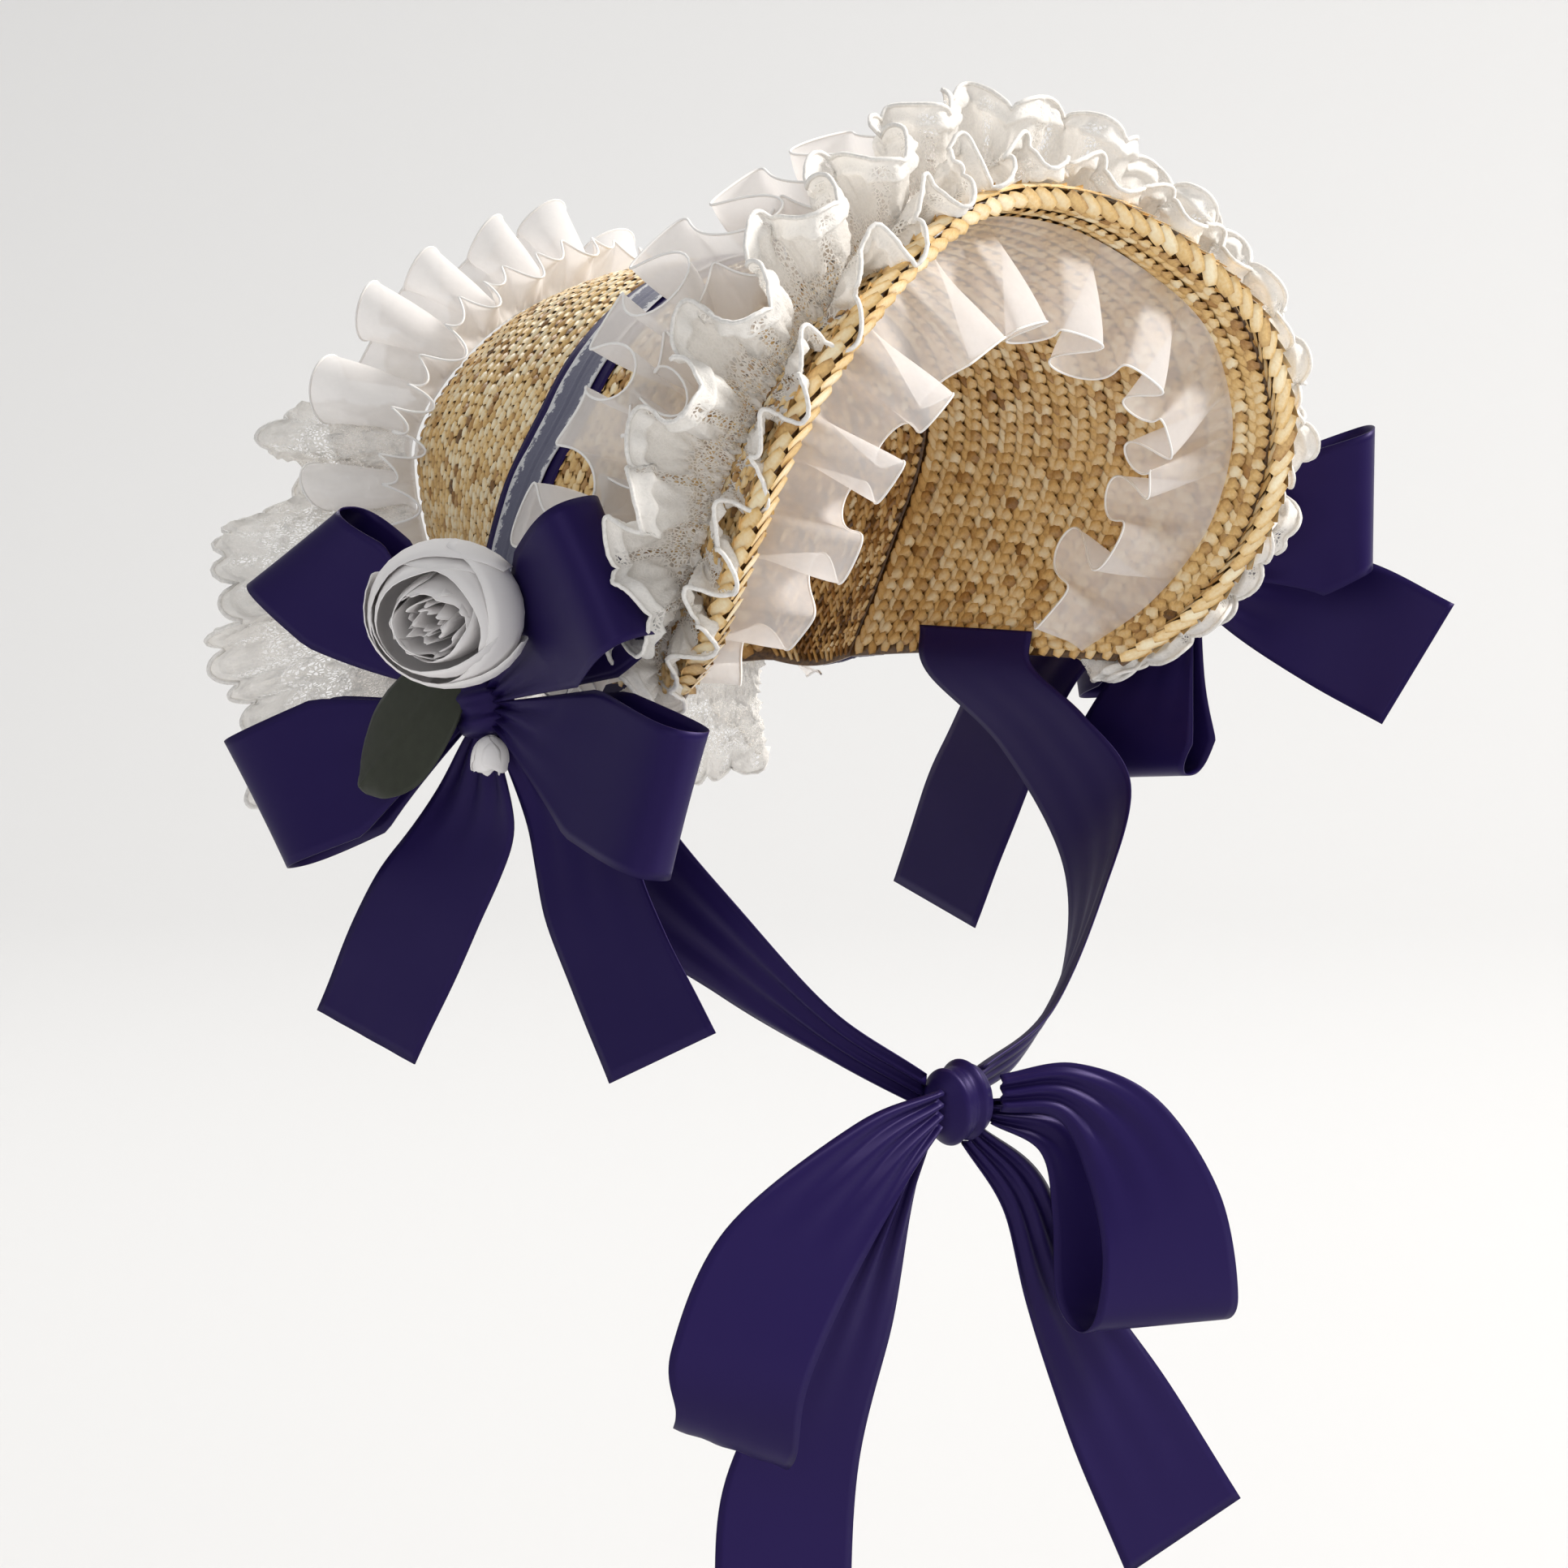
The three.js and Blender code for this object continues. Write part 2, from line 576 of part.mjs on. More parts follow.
// A full-blown rose: a core with two rings of cupped petals
function roseGeometry({ at, facing, radius }) {
  const front = vec(facing).normalize();
  const side = new THREE.Vector3(0, 0, 1).cross(front).normalize();
  const up = front.clone().cross(side);
  const rings = [
    { petals: 5, reach: 1, lip: 48, turn: 0 },
    { petals: 3, reach: 0.76, lip: 26, turn: 40 },
  ];
  let rose = solidOf(knotGeometry(at, [radius * 0.55, radius * 0.55, radius * 0.55]));
  for (const ring of rings) {
    for (let k = 0; k < ring.petals; k += 1) {
      const turn = ring.turn + 360 * k / ring.petals;
      const spread = 215 / ring.petals;
      const grid = (inset) => evenly(2, 0, 1).map((b) => evenly(2, -1, 1).map((a) => {
        const polar = THREE.MathUtils.degToRad(96 + (ring.lip - 96) * b * (1 - 0.3 * a * a));
        const open = 0.55 + 0.45 * Math.sin(Math.PI * (0.15 + 0.7 * b));
        const around = THREE.MathUtils.degToRad(turn + spread * a * open);
        const grown = 0.42 + 0.58 * Math.sin(Math.PI * 0.5 * Math.min(1, 0.1 + 1.4 * b));
        const r = radius * ring.reach * grown - inset;
        return vec(at).addScaledVector(front, r * Math.cos(polar))
          .addScaledVector(side, r * Math.sin(polar) * Math.cos(around))
          .addScaledVector(up, r * Math.sin(polar) * Math.sin(around));
      }));
      rose = rose.add(solidOf(closedWall(grid(0), grid(petalWall))));
    }
  }
  const mesh = rose.getMesh();
  return solidFrom(Array.from(mesh.vertProperties), Array.from(mesh.triVerts));
}

addPiece('crown', crownGeometry(), 'straw');
addPiece('brim', brimGeometry(), 'straw');
addPiece('rim', rimGeometry(), 'straw');
addPiece('band_ribbon', bandGeometry(bandHalf, bandLift, ribbonWall), 'navy');
addPiece('band_tape', bandGeometry(tapeHalf, bandLift + gap + ribbonWall, ribbonWall), 'tape');
addPiece('brim_organza_ruffle', brimRuffle(ruffles.brimOrganza, 1, true, 1), 'organza');
addPiece('brim_lace_ruffle', brimRuffle(ruffles.brimLace, 1, false, 2), 'lace');
addPiece('inner_organza_frill', brimRuffle(ruffles.innerFrill, -1, false, 4), 'organza');
addPiece('back_organza_ruffle', backOrganzaGeometry(), 'organza');
addPiece('back_lace_ruffle', backLaceGeometry(), 'lace');

for (const [side, bow] of Object.entries({ right: rightBow, left: leftBow })) {
  addPiece(`${side}_bow_knot`, knotGeometry(bow.knot, bowKnot), 'navy');
  for (const [place, loop] of Object.entries(bow.loops)) {
    addPiece(`${side}_bow_${place}_loop`, loopGeometry(bow.knot, loop), 'navy');
  }
}
for (const [name, rows] of Object.entries(ribbonRuns)) {
  addPiece(name, ribbonGeometry(rows, 3), 'navy');
}
for (const side of ['right', 'left']) {
  addPiece(`${side}_rose`, roseGeometry(roses[side]), 'petal');
  addPiece(`${side}_leaf`, ribbonGeometry(leaves[side], 2), 'leaf');
}
addPiece('right_rosebud', knotGeometry(rosebud.at, rosebud.size), 'petal');
addPiece('chin_knot', knotGeometry(chinKnot.at, chinKnot.size), 'navy');

export default bonnet;
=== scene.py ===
import bpy
import numpy as np
from mathutils import Matrix


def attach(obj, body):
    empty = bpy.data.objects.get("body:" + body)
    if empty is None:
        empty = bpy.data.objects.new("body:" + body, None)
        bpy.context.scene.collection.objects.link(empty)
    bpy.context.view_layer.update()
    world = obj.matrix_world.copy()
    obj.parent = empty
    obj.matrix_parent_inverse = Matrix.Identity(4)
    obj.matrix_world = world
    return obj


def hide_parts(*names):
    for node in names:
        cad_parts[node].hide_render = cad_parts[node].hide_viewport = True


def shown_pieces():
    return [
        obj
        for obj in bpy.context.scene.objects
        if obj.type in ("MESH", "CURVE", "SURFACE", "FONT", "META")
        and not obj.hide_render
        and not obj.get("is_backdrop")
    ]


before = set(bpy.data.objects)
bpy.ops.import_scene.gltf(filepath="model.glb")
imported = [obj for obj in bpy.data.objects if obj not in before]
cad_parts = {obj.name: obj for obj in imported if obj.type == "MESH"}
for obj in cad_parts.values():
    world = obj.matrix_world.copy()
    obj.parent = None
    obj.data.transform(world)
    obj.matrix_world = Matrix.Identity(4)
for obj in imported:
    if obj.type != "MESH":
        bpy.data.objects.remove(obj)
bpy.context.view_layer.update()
mm = 0.001


# small helpers

def spline(points, t, closed=False):
    points = np.asarray(points, float)
    t = np.ravel(np.asarray(t, float))
    n = len(points)
    if closed:
        p = (t % 1.0) * n
        i = np.floor(p).astype(int) % n
        w = p - np.floor(p)
        a, b, c, d = points[i - 1], points[i], points[(i + 1) % n], points[(i + 2) % n]
    else:
        padded = np.vstack([2 * points[0] - points[1], points, 2 * points[-1] - points[-2]])
        p = np.clip(t, 0, 1) * (n - 1)
        i = np.minimum(np.floor(p).astype(int), n - 2)
        w = p - i
        a, b, c, d = padded[i], padded[i + 1], padded[i + 2], padded[i + 3]
    w = w[:, None]
    g, h = (c - a) / 2, (d - b) / 2
    return b + g * w + (3 * (c - b) - 2 * g - h) * w ** 2 + (2 * (b - c) + g + h) * w ** 3


def unit(v):
    return v / np.maximum(np.linalg.norm(v, axis=-1, keepdims=True), 1e-9)


def smooth(x, low, high):
    k = np.clip((np.asarray(x, float) - low) / (high - low), 0, 1)
    return k * k * (3 - 2 * k)


def mix(a, b, k):
    return a + (b - a) * k


def wander(t, seed, waves):      # a slow uneven line about zero, between about -1 and 1
    r = np.random.default_rng(seed)
    out = np.zeros(np.shape(t))
    for k in range(1, waves + 1):
        size = r.uniform(0.4, 1) / k ** 0.5
        turns = k + r.uniform(0, 1)
        out = out + size * np.sin(2 * np.pi * turns * t + r.uniform(0, 6.3))
    return out / waves ** 0.5


def runAlong(line):      # distance run at every point of a line
    return np.concatenate([[0], np.cumsum(np.linalg.norm(np.diff(line, axis=0), axis=1))])


def evenSteps(line, count):      # parameters that split a sampled line into steps of the same length
    run = runAlong(line)
    return np.interp(np.linspace(0, run[-1], count), run, np.linspace(0, 1, len(line)))


def gridFaces(rows, cols, looped=False, count=1):
    across = cols if looped else cols - 1
    i, j = np.meshgrid(np.arange(rows - 1), np.arange(across), indexing="ij")
    i, j = i.ravel(), j.ravel()
    k = (j + 1) % cols
    one = np.stack([i * cols + j, i * cols + k, (i + 1) * cols + k, (i + 1) * cols + j], 1)
    return (one[None] + (np.arange(count) * rows * cols)[:, None, None]).reshape(-1, 4)


def meshPiece(name, points, faces, material, uv=None, tone=None):
    points = np.asarray(points, float).reshape(-1, 3) * mm
    faces = np.asarray(faces, int)
    mesh = bpy.data.meshes.new(name)
    mesh.vertices.add(len(points))
    mesh.vertices.foreach_set("co", points.ravel())
    mesh.loops.add(faces.size)
    mesh.loops.foreach_set("vertex_index", faces.ravel())
    mesh.polygons.add(len(faces))
    mesh.polygons.foreach_set("loop_start", np.arange(len(faces)) * faces.shape[1])
    mesh.polygons.foreach_set("use_smooth", np.ones(len(faces), bool))
    mesh.update(calc_edges=True)
    if uv is not None:
        layer = mesh.uv_layers.new(name="cut")
        layer.data.foreach_set("uv", np.asarray(uv, float).reshape(-1, 2)[faces.ravel()].ravel())
    if tone is not None:
        values = mesh.attributes.new("tone", "FLOAT", "POINT")
        values.data.foreach_set("value", np.ravel(tone))
    mesh.validate()
    thing = bpy.data.objects.new(name, mesh)
    bpy.context.scene.collection.objects.link(thing)
    mesh.materials.append(material)
    return thing


def finishPiece(thing, nodes=(), thickness=0):
    if thickness:
        wall = thing.modifiers.new("thickness", "SOLIDIFY")
        wall.thickness = thickness * mm
        wall.offset = 0
    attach(thing, "root")
    if nodes:
        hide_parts(*nodes)
    return thing


def tubeMesh(line, radius, sides):      # points and faces of a round cord along a line
    line = np.asarray(line, float)
    tangent = unit(np.gradient(line, axis=0))
    side = np.cross(tangent[0], [0.3, 0.2, 0.93])
    sideways = np.zeros_like(line)
    for k in range(len(line)):
        side = side - tangent[k] * side.dot(tangent[k])
        side = side / max(np.linalg.norm(side), 1e-9)
        sideways[k] = side
    other = np.cross(tangent, sideways)
    turn = np.linspace(0, 2 * np.pi, sides, endpoint=False)[None, :, None]
    ring = (np.cos(turn) * sideways[:, None] + np.sin(turn) * other[:, None]) * radius
    return (line[:, None] + ring).reshape(-1, 3), gridFaces(len(line), sides, looped=True)


def joined(parts):
    points, faces, start = [], [], 0
    for p, f in parts:
        points.append(np.asarray(p).reshape(-1, 3))
        faces.append(np.asarray(f) + start)
        start += len(points[-1])
    return np.vstack(points), np.vstack(faces)


# materials

def newMaterial(name):
    material = bpy.data.materials.new(name)
    material.use_nodes = True
    nodes, links = material.node_tree.nodes, material.node_tree.links
    return material, nodes, links, nodes["Principled BSDF"]


def addNode(nodes, kind, **values):
    node = nodes.new(kind)
    for key, value in values.items():
        if key in node.inputs:
            node.inputs[key].default_value = value
        else:
            setattr(node, key.replace(" ", "_").lower(), value)
    return node


def ramp(nodes, stops):
    node = nodes.new("ShaderNodeValToRGB")
    while len(node.color_ramp.elements) < len(stops):
        node.color_ramp.elements.new(0.5)
    for element, (place, colour) in zip(node.color_ramp.elements, stops):
        element.position = place
        element.color = (*colour, 1)
    return node


def addTexture(nodes, links, place, kind, **values):
    texture = addNode(nodes, kind, **values)
    links.new(place, texture.inputs["Vector"])
    return texture


def addBump(nodes, links, skin, height, strength, distance):
    bump = addNode(nodes, "ShaderNodeBump", Strength=strength, Distance=distance)
    links.new(height, bump.inputs["Height"])
    links.new(bump.outputs["Normal"], skin.inputs["Normal"])


def setSkin(skin, colour, roughness, specular=0.3):
    skin.inputs["Base Color"].default_value = (*colour, 1)
    skin.inputs["Roughness"].default_value = roughness
    skin.inputs["Specular IOR Level"].default_value = specular


def strawMaterial():
    # gap is a near-black brown at the lowest tone: painted shade for the gaps between the plait cells
    values = {"gap": (0.05, 0.022, 0.006), "brown": (0.40, 0.20, 0.055), "gold": (0.82, 0.55, 0.22),
              "pale": (1.0, 0.88, 0.62), "brownAt": 0.3, "goldAt": 0.62, "roughness": 0.34, "specular": 0.6,
              "streaks": 900, "streakShare": 0.30, "streakDepth": 0.25}
    material, nodes, links, skin = newMaterial("straw")
    tone = addNode(nodes, "ShaderNodeAttribute", attribute_name="tone")
    place = addNode(nodes, "ShaderNodeTexCoord").outputs["Object"]
    streak = addTexture(nodes, links, place, "ShaderNodeTexNoise", Scale=values["streaks"], Detail=2.0)
    less = addNode(nodes, "ShaderNodeMath", operation="SUBTRACT")
    less.inputs[1].default_value = values["streakShare"] / 2
    links.new(tone.outputs["Fac"], less.inputs[0])
    add = addNode(nodes, "ShaderNodeMath", operation="MULTIPLY_ADD")
    add.inputs[1].default_value = values["streakShare"]
    links.new(streak.outputs["Fac"], add.inputs[0])
    links.new(less.outputs[0], add.inputs[2])
    colours = ramp(nodes, [(0.0, values["gap"]), (values["brownAt"], values["brown"]),
                           (values["goldAt"], values["gold"]), (1.0, values["pale"])])
    links.new(add.outputs[0], colours.inputs["Fac"])
    links.new(colours.outputs["Color"], skin.inputs["Base Color"])
    skin.inputs["Roughness"].default_value = values["roughness"]
    skin.inputs["Specular IOR Level"].default_value = values["specular"]
    addBump(nodes, links, skin, streak.outputs["Fac"], values["streakDepth"], 0.0004)
    return material


def satinMaterial():
    values = {"colour": (0.0118, 0.0064, 0.056), "shine": (0.55, 0.42, 1.0), "roughness": 0.42, "drawn": 0.5,
              "ribs": 3.0, "ribDepth": 0.06}
    material, nodes, links, skin = newMaterial("satin ribbon")
    setSkin(skin, values["colour"], values["roughness"])
    skin.inputs["Specular Tint"].default_value = (*values["shine"], 1)
    skin.inputs["Anisotropic"].default_value = values["drawn"]
    cut = addNode(nodes, "ShaderNodeUVMap", uv_map="cut").outputs["UV"]
    rib = addTexture(nodes, links, cut, "ShaderNodeTexWave", Scale=values["ribs"], Distortion=0.4)
    addBump(nodes, links, skin, rib.outputs["Fac"], values["ribDepth"], 0.0002)
    return material


def mixedShader(nodes, links, share, first, second):
    node = addNode(nodes, "ShaderNodeMixShader", Fac=share)
    links.new(first.outputs[0], node.inputs[1])
    links.new(second.outputs[0], node.inputs[2])
    return node


def openwork(nodes, links, skin, cut, cover, holes):      # net where the embroidery's tone is low
    net = addTexture(nodes, links, cut, "ShaderNodeTexVoronoi", feature="DISTANCE_TO_EDGE",
                     Scale=holes["scale"])
    thread = ramp(nodes, [(holes["thread"], (1, 1, 1)), (holes["thread"] + 0.06, (0, 0, 0))])
    links.new(net.outputs["Distance"], thread.inputs["Fac"])
    solid = addNode(nodes, "ShaderNodeAttribute", attribute_name="tone")
    full = addNode(nodes, "ShaderNodeMath", operation="MAXIMUM")
    links.new(thread.outputs["Color"], full.inputs[0])
    links.new(solid.outputs["Fac"], full.inputs[1])
    both = addNode(nodes, "ShaderNodeMath", operation="MULTIPLY", use_clamp=True)
    links.new(full.outputs[0], both.inputs[0])
    links.new(cover.outputs[0], both.inputs[1])
    tuft = addTexture(nodes, links, cut, "ShaderNodeTexNoise", Scale=0.9, Detail=4.0, Roughness=0.7)
    addBump(nodes, links, skin, tuft.outputs["Fac"], holes["relief"], 0.0015)
    skin.inputs["Sheen Weight"].default_value = holes["sheen"]
    return both


def clothMaterial(name, colour, opacity, translucence, roughness=0.6, grain=0.0, holes=None):
    # thin cloth, partly see-through and partly lit from behind; holes cuts an openwork into it
    material, nodes, links, skin = newMaterial(name)
    setSkin(skin, colour, roughness)
    back = addNode(nodes, "ShaderNodeBsdfTranslucent", Color=(*colour, 1))
    body = mixedShader(nodes, links, translucence, skin, back)
    whole = mixedShader(nodes, links, opacity, addNode(nodes, "ShaderNodeBsdfTransparent"), body)
    links.new(whole.outputs[0], nodes["Material Output"].inputs["Surface"])
    if grain:
        cut = addNode(nodes, "ShaderNodeUVMap", uv_map="cut").outputs["UV"]
        weave = addTexture(nodes, links, cut, "ShaderNodeTexNoise", Scale=0.35, Detail=3.0, Roughness=0.6)
        cover = addNode(nodes, "ShaderNodeMath", operation="MULTIPLY_ADD")
        cover.inputs[1].default_value = grain * 2
        cover.inputs[2].default_value = opacity - grain
        links.new(weave.outputs["Fac"], cover.inputs[0])
        if holes:
            cover = openwork(nodes, links, skin, cut, cover, holes)
        links.new(cover.outputs[0], whole.inputs["Fac"])
    return material


def plainMaterial(name, colour, roughness, sheen=0.0, speckle=None):
    material, nodes, links, skin = newMaterial(name)
    setSkin(skin, colour, roughness)
    skin.inputs["Sheen Weight"].default_value = sheen
    if speckle:
        place = addNode(nodes, "ShaderNodeTexCoord").outputs["Object"]
        blot = addTexture(nodes, links, place, "ShaderNodeTexNoise", Scale=speckle, Detail=3.0)
        shades = ramp(nodes, [(0.3, tuple(c * 0.82 for c in colour)), (0.7, colour)])
        links.new(blot.outputs["Fac"], shades.inputs["Fac"])
        links.new(shades.outputs["Color"], skin.inputs["Base Color"])
        addBump(nodes, links, skin, blot.outputs["Fac"], 0.15, 0.0005)
    return material


straw = strawMaterial()
satin = satinMaterial()
organza = clothMaterial("organza", (0.95, 0.925, 0.91), opacity=0.80, translucence=0.35, grain=0.04)
frillOrganza = clothMaterial("frill organza", (0.94, 0.91, 0.90), opacity=0.64, translucence=0.28, grain=0.04)
lace = clothMaterial("lace", (1.0, 0.97, 0.925), opacity=0.98, translucence=0.18, roughness=0.5, grain=0.05,
                     holes={"scale": 0.62, "thread": 0.13, "relief": 0.45, "sheen": 0.3})
hemThread = plainMaterial("hem thread", (0.93, 0.91, 0.89), roughness=0.6, sheen=0.2)
laceCord = plainMaterial("lace cord", (0.94, 0.91, 0.87), roughness=0.5, sheen=0.2, speckle=900)
petalCloth = clothMaterial("petal cloth", (0.98, 0.955, 0.95), opacity=1.0, translucence=0.15, roughness=0.7)
leafCloth = plainMaterial("leaf cloth", (0.030, 0.034, 0.022), roughness=0.5, sheen=0.1, speckle=300)
print("materials made")


# straw form: half ribs from the top centre to the lower end, mirrored

strawForm = {
    "front": [(0, -71, 34), (32, -75, 29), (62, -81, 14), (86, -84, -4), (103, -80, -27),
              (112, -73, -50), (114, -60, -78), (108, -40, -103), (98, -14, -122)],
    "seam": [(0, 57, 12), (25, 57, 9), (50, 57, -2), (69, 58, -18), (80, 62, -38),
             (86, 71, -58), (86, 82, -80), (84, 92, -103), (79, 100, -126)],
    "back": [(0, 150, -1), (21, 150, -5), (41, 150, -15), (59, 150, -30), (71, 150, -47),
             (74, 146, -66), (73, 140, -86), (71, 134, -107), (67, 128, -128)],
    "tip": [(0, 170.5, -50), (0, 171, -53), (0, 171.5, -57), (0, 172, -63), (0, 172, -71),
            (0, 172, -82), (0, 170, -97), (0, 166, -115), (0, 160, -134)],
    "brimHollow": 4, "crownSwell": 6, "middle": -60,
}


def archLine(key):
    half = np.array(strawForm[key], float)
    full = np.vstack([half[:0:-1] * [-1, 1, 1], half])
    return lambda u: spline(full, (np.ravel(u) + 1) / 2).reshape(np.shape(u) + (3,))


frontLine, seamLine, backLine, tipLine = (archLine(k) for k in ("front", "seam", "back", "tip"))


def brimPoint(u, s):
    s = np.asarray(s, float)[..., None]
    p = frontLine(u) * (1 - s) + seamLine(u) * s
    centre = np.zeros_like(p)
    centre[..., 1], centre[..., 2] = p[..., 1], strawForm["middle"]
    return p + unit(centre - p) * strawForm["brimHollow"] * np.sin(np.pi * s)


def crownPoint(u, s):
    s = np.asarray(s, float)[..., None]
    seam, turn, tip = seamLine(u), backLine(u), tipLine(u)
    p = seam * (1 - s) + turn * s
    away = p.copy()
    away[..., 1] = 0
    away[..., 2] -= strawForm["middle"]
    p = p + unit(away) * strawForm["crownSwell"] * np.sin(np.pi / 2 * (1 + s)) * s * 2
    t = np.clip(s - 1, 0, 1)
    back = turn * (1 - t) + tip * t
    back[..., 1:2] = turn[..., 1:2] + (tip - turn)[..., 1:2] * np.sin(np.pi / 2 * t)
    return np.where(s <= 1, p, back)


def surfaceFrame(surface, u, s, step=0.004):
    u, s = np.broadcast_arrays(np.asarray(u, float), np.asarray(s, float))
    along = unit(surface(np.minimum(u + step, 1), s) - surface(np.maximum(u - step, -1), s))
    across = unit(surface(u, s - step) - surface(u, s + step))
    out = unit(np.cross(across, along))
    across = unit(np.cross(along, out))
    return surface(u, s), along, across, out


plaitCell = {"long": 5, "wide": 4, "ends": 0.985, "shift": 0.05, "rowShift": 0.0003, "turn": 5,
             "liftSpread": 0.08}      # points along and across a cell, and how unevenly the cells lie


def plaitCells(surface, rows, values, seed):
    # slanted plait cells lying on a surface; a row is its s and its pitch in mm
    r = np.random.default_rng(seed)
    us, ss, lengths, widths, slants, lifts, flips = [], [], [], [], [], [], []
    fine = np.linspace(-1, 1, 401)
    for k, (s, pitch) in enumerate(rows):
        line = surface(fine, np.full(len(fine), s))
        count = int(runAlong(line)[-1] / values["pitch"])
        if count < 2:
            continue
        steps = evenSteps(line, count + 1)
        u = 2 * steps[:-1] - 1 + (k % 2 * 0.5 + 0.25) * (2 * np.diff(steps))
        u = np.clip(u + r.normal(0, plaitCell["shift"], count) * 2 / count, -1, 1) * plaitCell["ends"]
        flip = 1 if k % 2 or not values["herringbone"] else -1
        us.append(u)
        ss.append(s + r.normal(0, plaitCell["rowShift"], count))
        lengths.append(values["length"] * r.uniform(0.9, 1.12, count))
        local = pitch(u) if callable(pitch) else pitch
        widths.append(local * values["cover"] * r.uniform(0.9, 1.08, count))
        slants.append(np.radians(values["slant"] * flip + r.normal(0, plaitCell["turn"], count)))
        rowLift = values["rowLift"][k % len(values["rowLift"])]
        lifts.append(rowLift + r.normal(0, plaitCell["liftSpread"], count))
        flips.append(np.full(count, flip))
    columns = us, ss, lengths, widths, slants, lifts, flips
    u, s, length, width, slant, lift, flip = (np.concatenate(x) for x in columns)
    at, along, across, out = surfaceFrame(surface, u, s)
    sine, cosine = np.sin(slant)[:, None], np.cos(slant)[:, None]
    one = (along * cosine + across * sine)[:, None, None]
    two = (across * cosine - along * sine)[:, None, None]
    a, b = np.meshgrid(np.linspace(-1, 1, plaitCell["long"]), np.linspace(-1, 1, plaitCell["wide"]),
                       indexing="ij")
    half = 1 - 0.30 * np.abs(a) ** 2.5
    high = values["thick"] * (1 - 0.85 * b ** 2) * (1 - 0.45 * np.abs(a) ** 3)

    def each(x):
        return x[:, None, None, None]
    rise = each(lift) + high[..., None] + each(flip) * (values["tilt"] * a)[..., None]
    grid = (at[:, None, None] + one * each(length / 2) * a[..., None]
            + two * each(width / 2) * (b * half)[..., None] + (out * values["side"])[:, None, None] * rise)
    base = np.clip(r.normal(values["tone"], values["toneSpread"], len(u)), 0.12, 1.0)
    # each cell's random tone is made darker towards its sides and ends: painted shade where the cell rounds
    # down towards its neighbours
    tone = base[:, None, None] * (1 - 0.30 * np.abs(b) ** 3 - 0.22 * np.abs(a) ** 4)
    faces = gridFaces(plaitCell["long"], plaitCell["wide"], count=len(u))
    if values["side"] < 0:
        faces = faces[:, ::-1]
    return grid.reshape(-1, 3), faces, tone.ravel()


def shellPart(surface, first, last, rows, cols, thickness):      # a closed thin straw wall under the cells
    u, s = np.meshgrid(np.linspace(-1, 1, cols), np.linspace(first, last, rows))
    at, along, across, out = surfaceFrame(surface, u, s)
    both = np.stack([at + out * thickness / 2, at - out * thickness / 2]).reshape(-1, 3)
    count = rows * cols
    top = gridFaces(rows, cols)
    ring = np.concatenate([np.arange(cols), np.arange(1, rows) * cols + cols - 1,
                           (rows - 1) * cols + np.arange(cols - 2, -1, -1),
                           np.arange(rows - 2, 0, -1) * cols])
    after = np.roll(ring, -1)
    edge = np.stack([ring, ring + count, after + count, after], 1)
    return both, np.vstack([top, top[:, ::-1] + count, edge])


def strawPiece(name, node, core, coreShadeTone, cellSets):
    points, faces = joined([core] + [cells[:2] for cells in cellSets])
    # the wall under the cells gets a low tone near the gap colour: painted shade that shows between the cells
    tone = np.concatenate([np.full(len(core[0]), coreShadeTone)] + [cells[2] for cells in cellSets])
    finishPiece(meshPiece(name, points, faces, straw, tone=tone), [node])


def spacedRows(surface, first, last, pitch):
    # rows across the form at an even pitch along its middle, with their local spacing
    fine = np.linspace(first, last, 200)
    line = surface(np.zeros(len(fine)), fine)
    count = max(2, int(runAlong(line)[-1] / pitch))
    steps = evenSteps(line, count + 1)
    s = mix(first, last, (steps[1:] + steps[:-1]) / 2)
    gap = (last - first) * np.diff(steps)

    def spacing(k):
        def at(u):
            low = surface(u, np.full(len(u), s[k] - gap[k] / 2))
            high = surface(u, np.full(len(u), s[k] + gap[k] / 2))
            return np.linalg.norm(high - low, axis=1)
        return at
    return [(s[k], spacing(k)) for k in range(count)]


def wovenCells(surface, values, seed):
    rows = [row for span in values["spans"] for row in spacedRows(surface, *span, values["rowPitch"])]
    return plaitCells(surface, rows, values, seed)


crownShell = {"first": 0.002, "last": 1.999, "rows": 40, "cols": 97, "thickness": 1.4}
crownWeave = {
    "spans": [(0.02, 0.985), (1.02, 1.992)], "rowPitch": 2.9, "pitch": 4.2, "length": 5.3, "cover": 1.06,
    "slant": 27, "herringbone": True, "rowLift": [0.95], "thick": 1.15, "tilt": 0.5, "tone": 0.82,
    "toneSpread": 0.27, "side": 1
}
crownInside = dict(crownWeave, side=-1, tone=0.50, pitch=4.4, length=5.8, rowPitch=3.4)
strawPiece("crown_straw", "crown", shellPart(crownPoint, **crownShell), 0.06,
           [wovenCells(crownPoint, crownWeave, 1), wovenCells(crownPoint, crownInside, 2)])

brimShell = {"first": 0.02, "last": 0.995, "rows": 24, "cols": 97, "thickness": 1.2}
brimOutside = {
    "spans": [(0.035, 0.985)], "rowPitch": 3.3, "pitch": 4.6, "length": 6.0, "cover": 1.2, "slant": 33,
    "herringbone": True, "rowLift": [1.15, 0.85], "thick": 0.95, "tilt": 0.45, "tone": 0.64,
    "toneSpread": 0.2, "side": 1
}
brimInside = dict(
    brimOutside, rowPitch=3.4, pitch=4.3, length=6.2, cover=1.25, slant=32, rowLift=[1.35, 0.75], tilt=0.5,
    tone=0.70, toneSpread=0.18, side=-1
)
strawPiece("brim_straw", "brim", shellPart(brimPoint, **brimShell), 0.06,
           [wovenCells(brimPoint, brimOutside, 3), wovenCells(brimPoint, brimInside, 4)])

